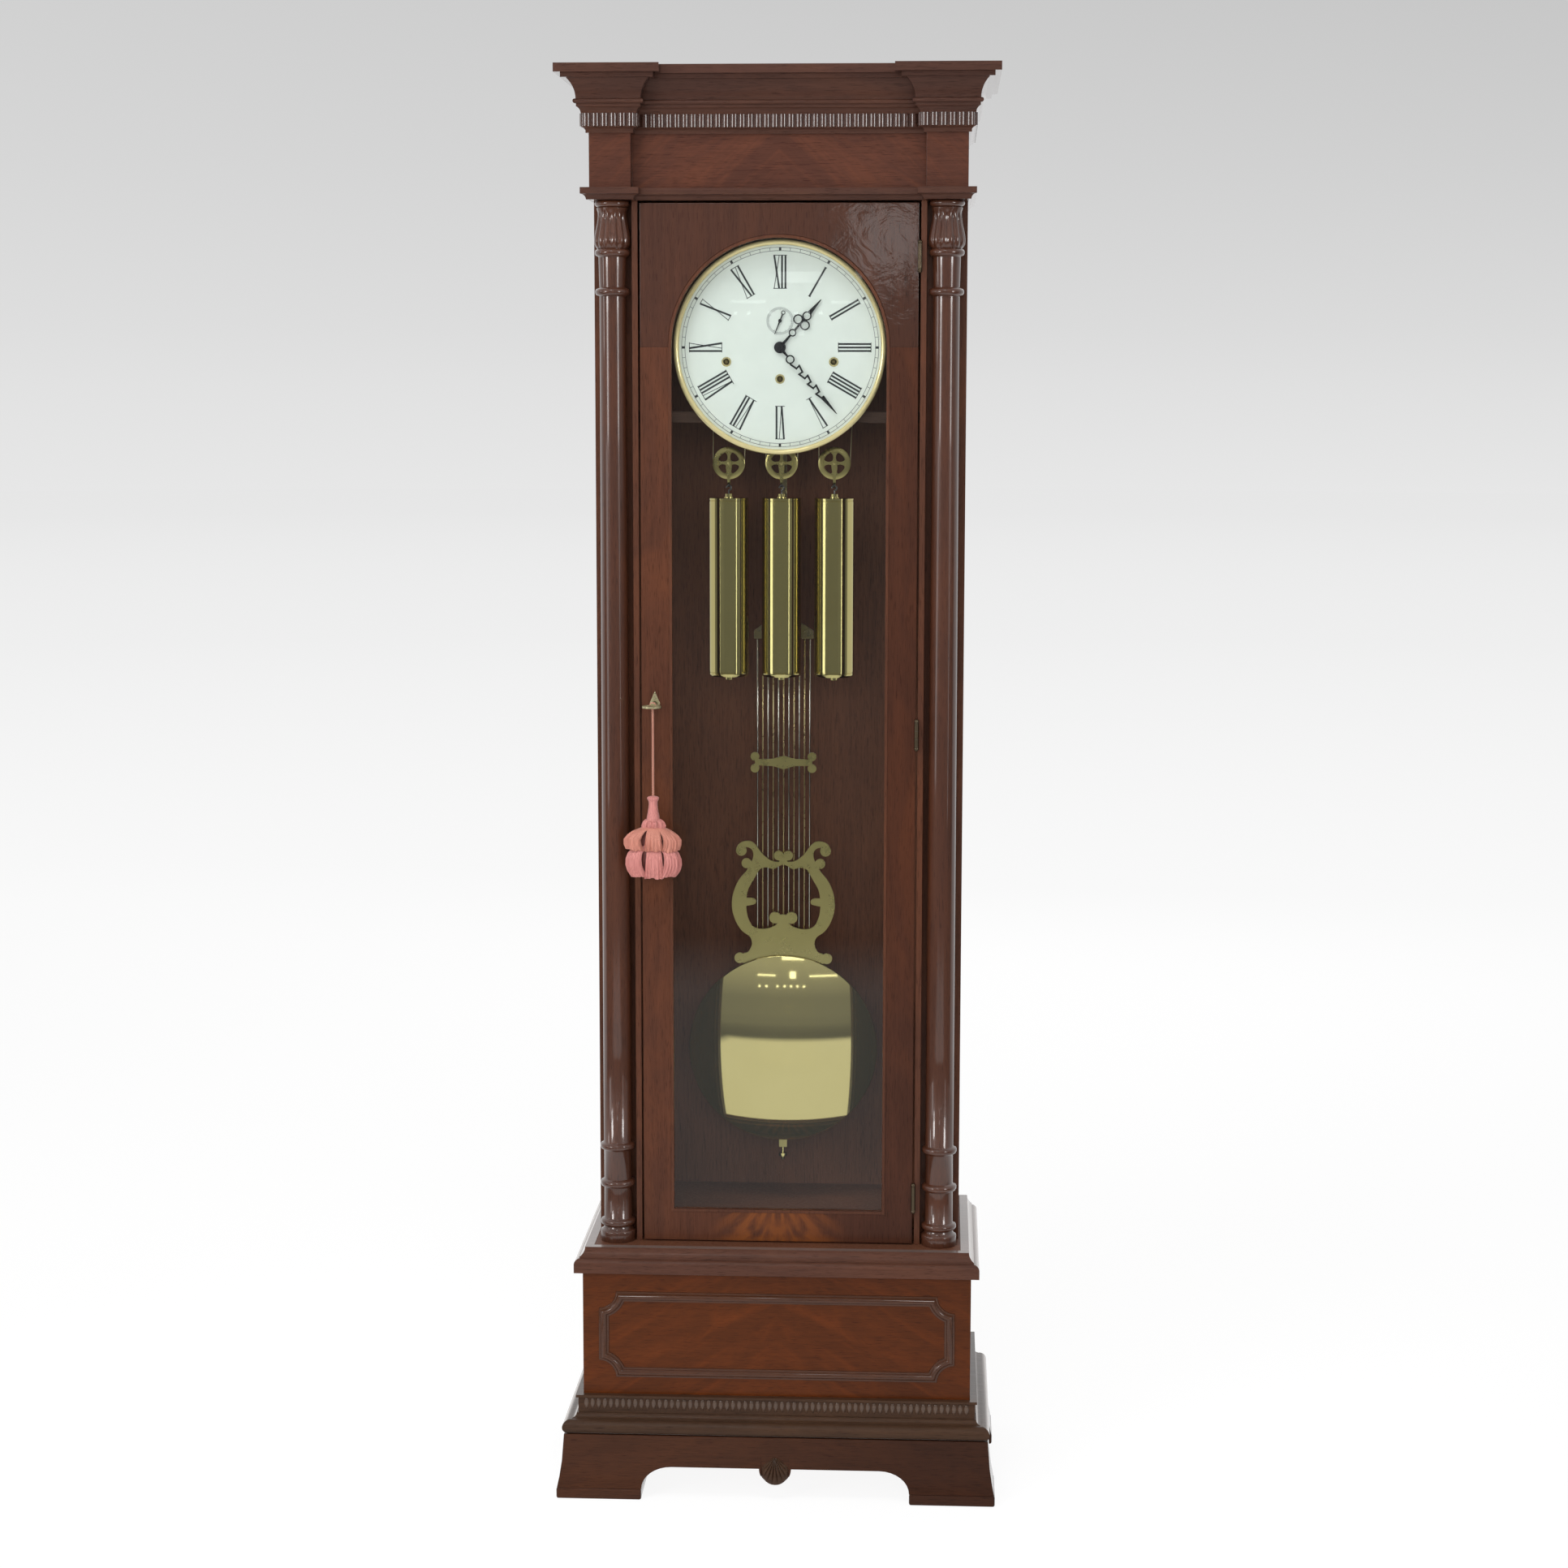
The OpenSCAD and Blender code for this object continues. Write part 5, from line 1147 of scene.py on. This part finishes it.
stageSetup = {
    "floorRadius": 45,
    # how light the floor looks at these distances from the middle of the clock, in metres
    "floorLook": ((0.0, 0.875), (1.6, 0.858), (3.6, 0.852), (5.6, 0.856), (10.6, 0.815),
                  (15.6, 0.780), (35.6, 0.720), (45.0, 0.713)),
    # how light the backdrop looks at these heights of the line of sight, and how far it darkens
    # to the right
    "skyLook": ((-0.034, 0.805), (0.0, 0.757), (0.02, 0.72), (0.047, 0.685), (0.0735, 0.652),
                (0.1, 0.625), (0.126, 0.60)),
    "skyLean": -0.22, "skyLevel": 0.992,
    # how light reflections find the room in front, behind and higher up, and the floor about the
    # clock, at the near and at the far end of its dim part
    "front": 0.22, "back": 0.85, "high": 0.3, "shine": 0.9, "nearFloor": 0.10, "farFloor": 0.20,
    # where each changes into the next: for the floor in metres, for the room as a direction
    "aheadEdge": (-4.6, -3.8), "asideEdge": (2.0, 1.5), "behindEdge": (-0.4, 0.1),
    "dimEdge": (-5.0, -12.0), "roomEdge": (-0.5, 0.4), "highEdge": (0.1, 0.3),
    # how much of the floor's look is even light of its own, and how strong it is
    "evenShare": 0.86, "evenLight": 1.2,
}


def makeFloor(setup):
    shape = bmesh.new()
    bmesh.ops.create_circle(shape, cap_ends=True, segments=128, radius=setup["floorRadius"])
    bmesh.ops.translate(shape, verts=shape.verts, vec=(0, 0, -0.0002))
    mesh = bpy.data.meshes.new("floor")
    shape.to_mesh(mesh)
    shape.free()
    floor = bpy.data.objects.new("floor", mesh)
    scene.collection.objects.link(floor)
    material, tree, shader = newMaterial("floor_paint")
    coords = addNode(tree, "ShaderNodeTexCoord")
    away = addNode(tree, "ShaderNodeVectorMath", operation="LENGTH")
    tree.links.new(coords.outputs["Object"], away.inputs[0])
    radius = setup["floorRadius"]
    shown = ramp(tree, maths(tree, "MULTIPLY", away.outputs["Value"], 1 / radius),
                 [(distance / radius, level) for distance, level in setup["floorLook"]])
    glow = addNode(tree, "ShaderNodeEmission", Strength=setup["evenLight"])
    tree.links.new(shown, glow.inputs["Color"])
    # the paint itself takes the clock's soft shadow; what the camera sees is mostly even light
    shader.inputs["Base Color"].default_value = (0.9, 0.9, 0.9, 1)
    shader.inputs["Roughness"].default_value = 1.0
    shader.inputs["Specular IOR Level"].default_value = 0.0
    plain = mixShader(tree, setup["evenShare"], shader.outputs[0], glow.outputs[0])
    # in reflections the floor is pale about the clock and dim far out to the front and its sides
    parts = objectParts(tree)
    aside = mapRange(tree, maths(tree, "ABSOLUTE", parts["X"]), *setup["asideEdge"])
    ahead = maths(tree, "MINIMUM", mapRange(tree, parts["Y"], *setup["aheadEdge"]), aside)
    pale = maths(tree, "MAXIMUM", ahead, mapRange(tree, parts["Y"], *setup["behindEdge"]))
    far = mapRange(tree, parts["Y"], *setup["dimEdge"], setup["nearFloor"], setup["farFloor"])
    mirrored = addNode(tree, "ShaderNodeEmission")
    tree.links.new(mapRange(tree, pale, 0.0, 1.0, far, setup["shine"]), mirrored.inputs["Strength"])
    paths = addNode(tree, "ShaderNodeLightPath")
    both = mixShader(tree, paths.outputs["Is Glossy Ray"], plain, mirrored.outputs[0])
    tree.links.new(both, tree.nodes["Material Output"].inputs["Surface"])
    mesh.materials.append(material)


def makeWorld(setup):
    world = bpy.data.worlds.new("studio")
    scene.world = world
    world.use_nodes = True
    tree = world.node_tree
    background = tree.nodes["Background"]
    background.inputs["Color"].default_value = (1, 1, 1, 1)
    background.inputs["Strength"].default_value = 0.45
    coords = addNode(tree, "ShaderNodeTexCoord")
    parts = addNode(tree, "ShaderNodeSeparateXYZ")
    tree.links.new(coords.outputs["Generated"], parts.inputs[0])
    low, high = setup["skyLook"][0][0], setup["skyLook"][-1][0]
    height = mapRange(tree, parts.outputs["Z"], low, high)
    stops = [((rise - low) / (high - low), level) for rise, level in setup["skyLook"]]
    seen = addNode(tree, "ShaderNodeBackground")
    tree.links.new(ramp(tree, height, stops), seen.inputs["Color"])
    lean = maths(tree, "MULTIPLY", parts.outputs["X"], height)
    tree.links.new(maths(tree, "MULTIPLY_ADD", lean, setup["skyLean"], setup["skyLevel"]),
                   seen.inputs["Strength"])
    # reflections find a dim room in front of the clock and a pale one behind it, lighter higher up
    room = mapRange(tree, parts.outputs["Y"], *setup["roomEdge"], setup["front"], setup["back"])
    windows = mapRange(tree, parts.outputs["Z"], *setup["highEdge"], 0.0, setup["high"])
    mirrored = addNode(tree, "ShaderNodeBackground", Color=(1, 1, 1, 1))
    tree.links.new(maths(tree, "ADD", room, windows), mirrored.inputs["Strength"])
    paths = addNode(tree, "ShaderNodeLightPath")
    either = maths(tree, "MAXIMUM", paths.outputs["Is Camera Ray"], paths.outputs["Is Transmission Ray"])
    unseen = mixShader(tree, paths.outputs["Is Glossy Ray"], background.outputs[0], mirrored.outputs[0])
    whole = mixShader(tree, either, unseen, seen.outputs[0])
    tree.links.new(whole, tree.nodes["World Output"].inputs["Surface"])


makeFloor(stageSetup)
makeWorld(stageSetup)

# each lamp: where it stands, what it faces, how wide and high it is, and its power
glints = {  # these show only in what shines
    "left_box": ((-3.1, -2.0, 1.05), (0, 0, 1.05), (1.0, 0.95), 5.6),
    "right_strip": ((2.5, -2.35, 1.05), (0, 0, 1.05), (0.2, 0.95), 1.4),
    "left_middle": ((-2.6, -2.75, 1.7), (0, 0, 1.7), (0.8, 0.34), 6.0),
    "left_high": ((-2.6, -2.75, 2.16), (0, 0, 2.0), (0.9, 0.58), 26),
    "left_edge": ((-3.6, -0.8, 2.1), (0, 0, 2.0), (0.4, 0.7), 5),
    "right_middle": ((2.5, -2.35, 1.7), (0, 0, 1.7), (0.6, 0.34), 4.5),
    "right_high": ((2.5, -2.35, 2.16), (0, 0, 2.0), (0.8, 0.58), 22),
    "high_lamp": ((-0.6, -3.6, 4.4), (0, 0, 0.5), (0.9, 0.6), 17),
    "cloud": ((0.067, -5.6, 2.14), (0.16, 0, 1.87), (0.22, 0.26), 0.5),
    "bob_top": ((0.1, -8, 3.7), (0, 0, 0.8), (1.2, 0.3), 2.6),
    "bob_arc_left": ((-1.9, -12, 3.68), (0, 0, 0.8), (1.4, 0.12), 1.3),
    "bob_arc_right": ((2.5, -12, 3.68), (0, 0, 0.8), (2.2, 0.12), 2.1),
}
softLamps = {  # these light the clock without showing in what shines
    "key": ((-2.6, -3.4, 2.3), (0, 0, 1.2), (1.6, 2.0), 64),
    "overhead": ((-0.4, -2.0, 4.4), (0, 0, 0.9), (2.4, 1.4), 70),
    "front_fill": ((0.3, -5.5, 2.2), (0, 0, 1.1), (3.2, 1.6), 95),
    "back_fill": ((0.5, 4.5, 2.6), (0, 0, 1.0), (3.0, 2.0), 50),
}


def makeLamp(name, at, aim, size, power, glint=True):
    data = bpy.data.lights.new(name, "AREA")
    data.shape = "RECTANGLE"
    data.size, data.size_y = size
    data.energy = power
    lamp = bpy.data.objects.new(name, data)
    scene.collection.objects.link(lamp)
    lamp.location = at
    lamp.rotation_euler = (Vector(aim) - Vector(at)).to_track_quat("-Z", "Y").to_euler()
    if glint:
        lamp.visible_diffuse = False
        lamp.visible_camera = False
    else:
        lamp.visible_glossy = False


for name, lamp in glints.items():
    makeLamp(name, *lamp)
for name, lamp in softLamps.items():
    makeLamp(name, *lamp, glint=False)
for i, x in enumerate((-4.0, -3.1, -1.7, -0.8, 0.0, 0.8, 1.6)):  # a row of far ceiling lamps
    makeLamp("far_" + str(i), (x, -20, 4.2), (0, 0, 0.8), (0.24, 0.2), 0.6)
for side, x in (("left", -0.2), ("right", 0.2)):  # what the weights show of the trunk's sides
    makeLamp(side + "_wall", (x, 0.03, 1.36), (0, 0.03, 1.36), (0.16, 0.4), 0.14)
    makeLamp(side + "_jamb", (x, -0.0775, 1.36), (0, -0.0775, 1.36), (0.055, 0.4), 0.014)
print("stage and light ready")
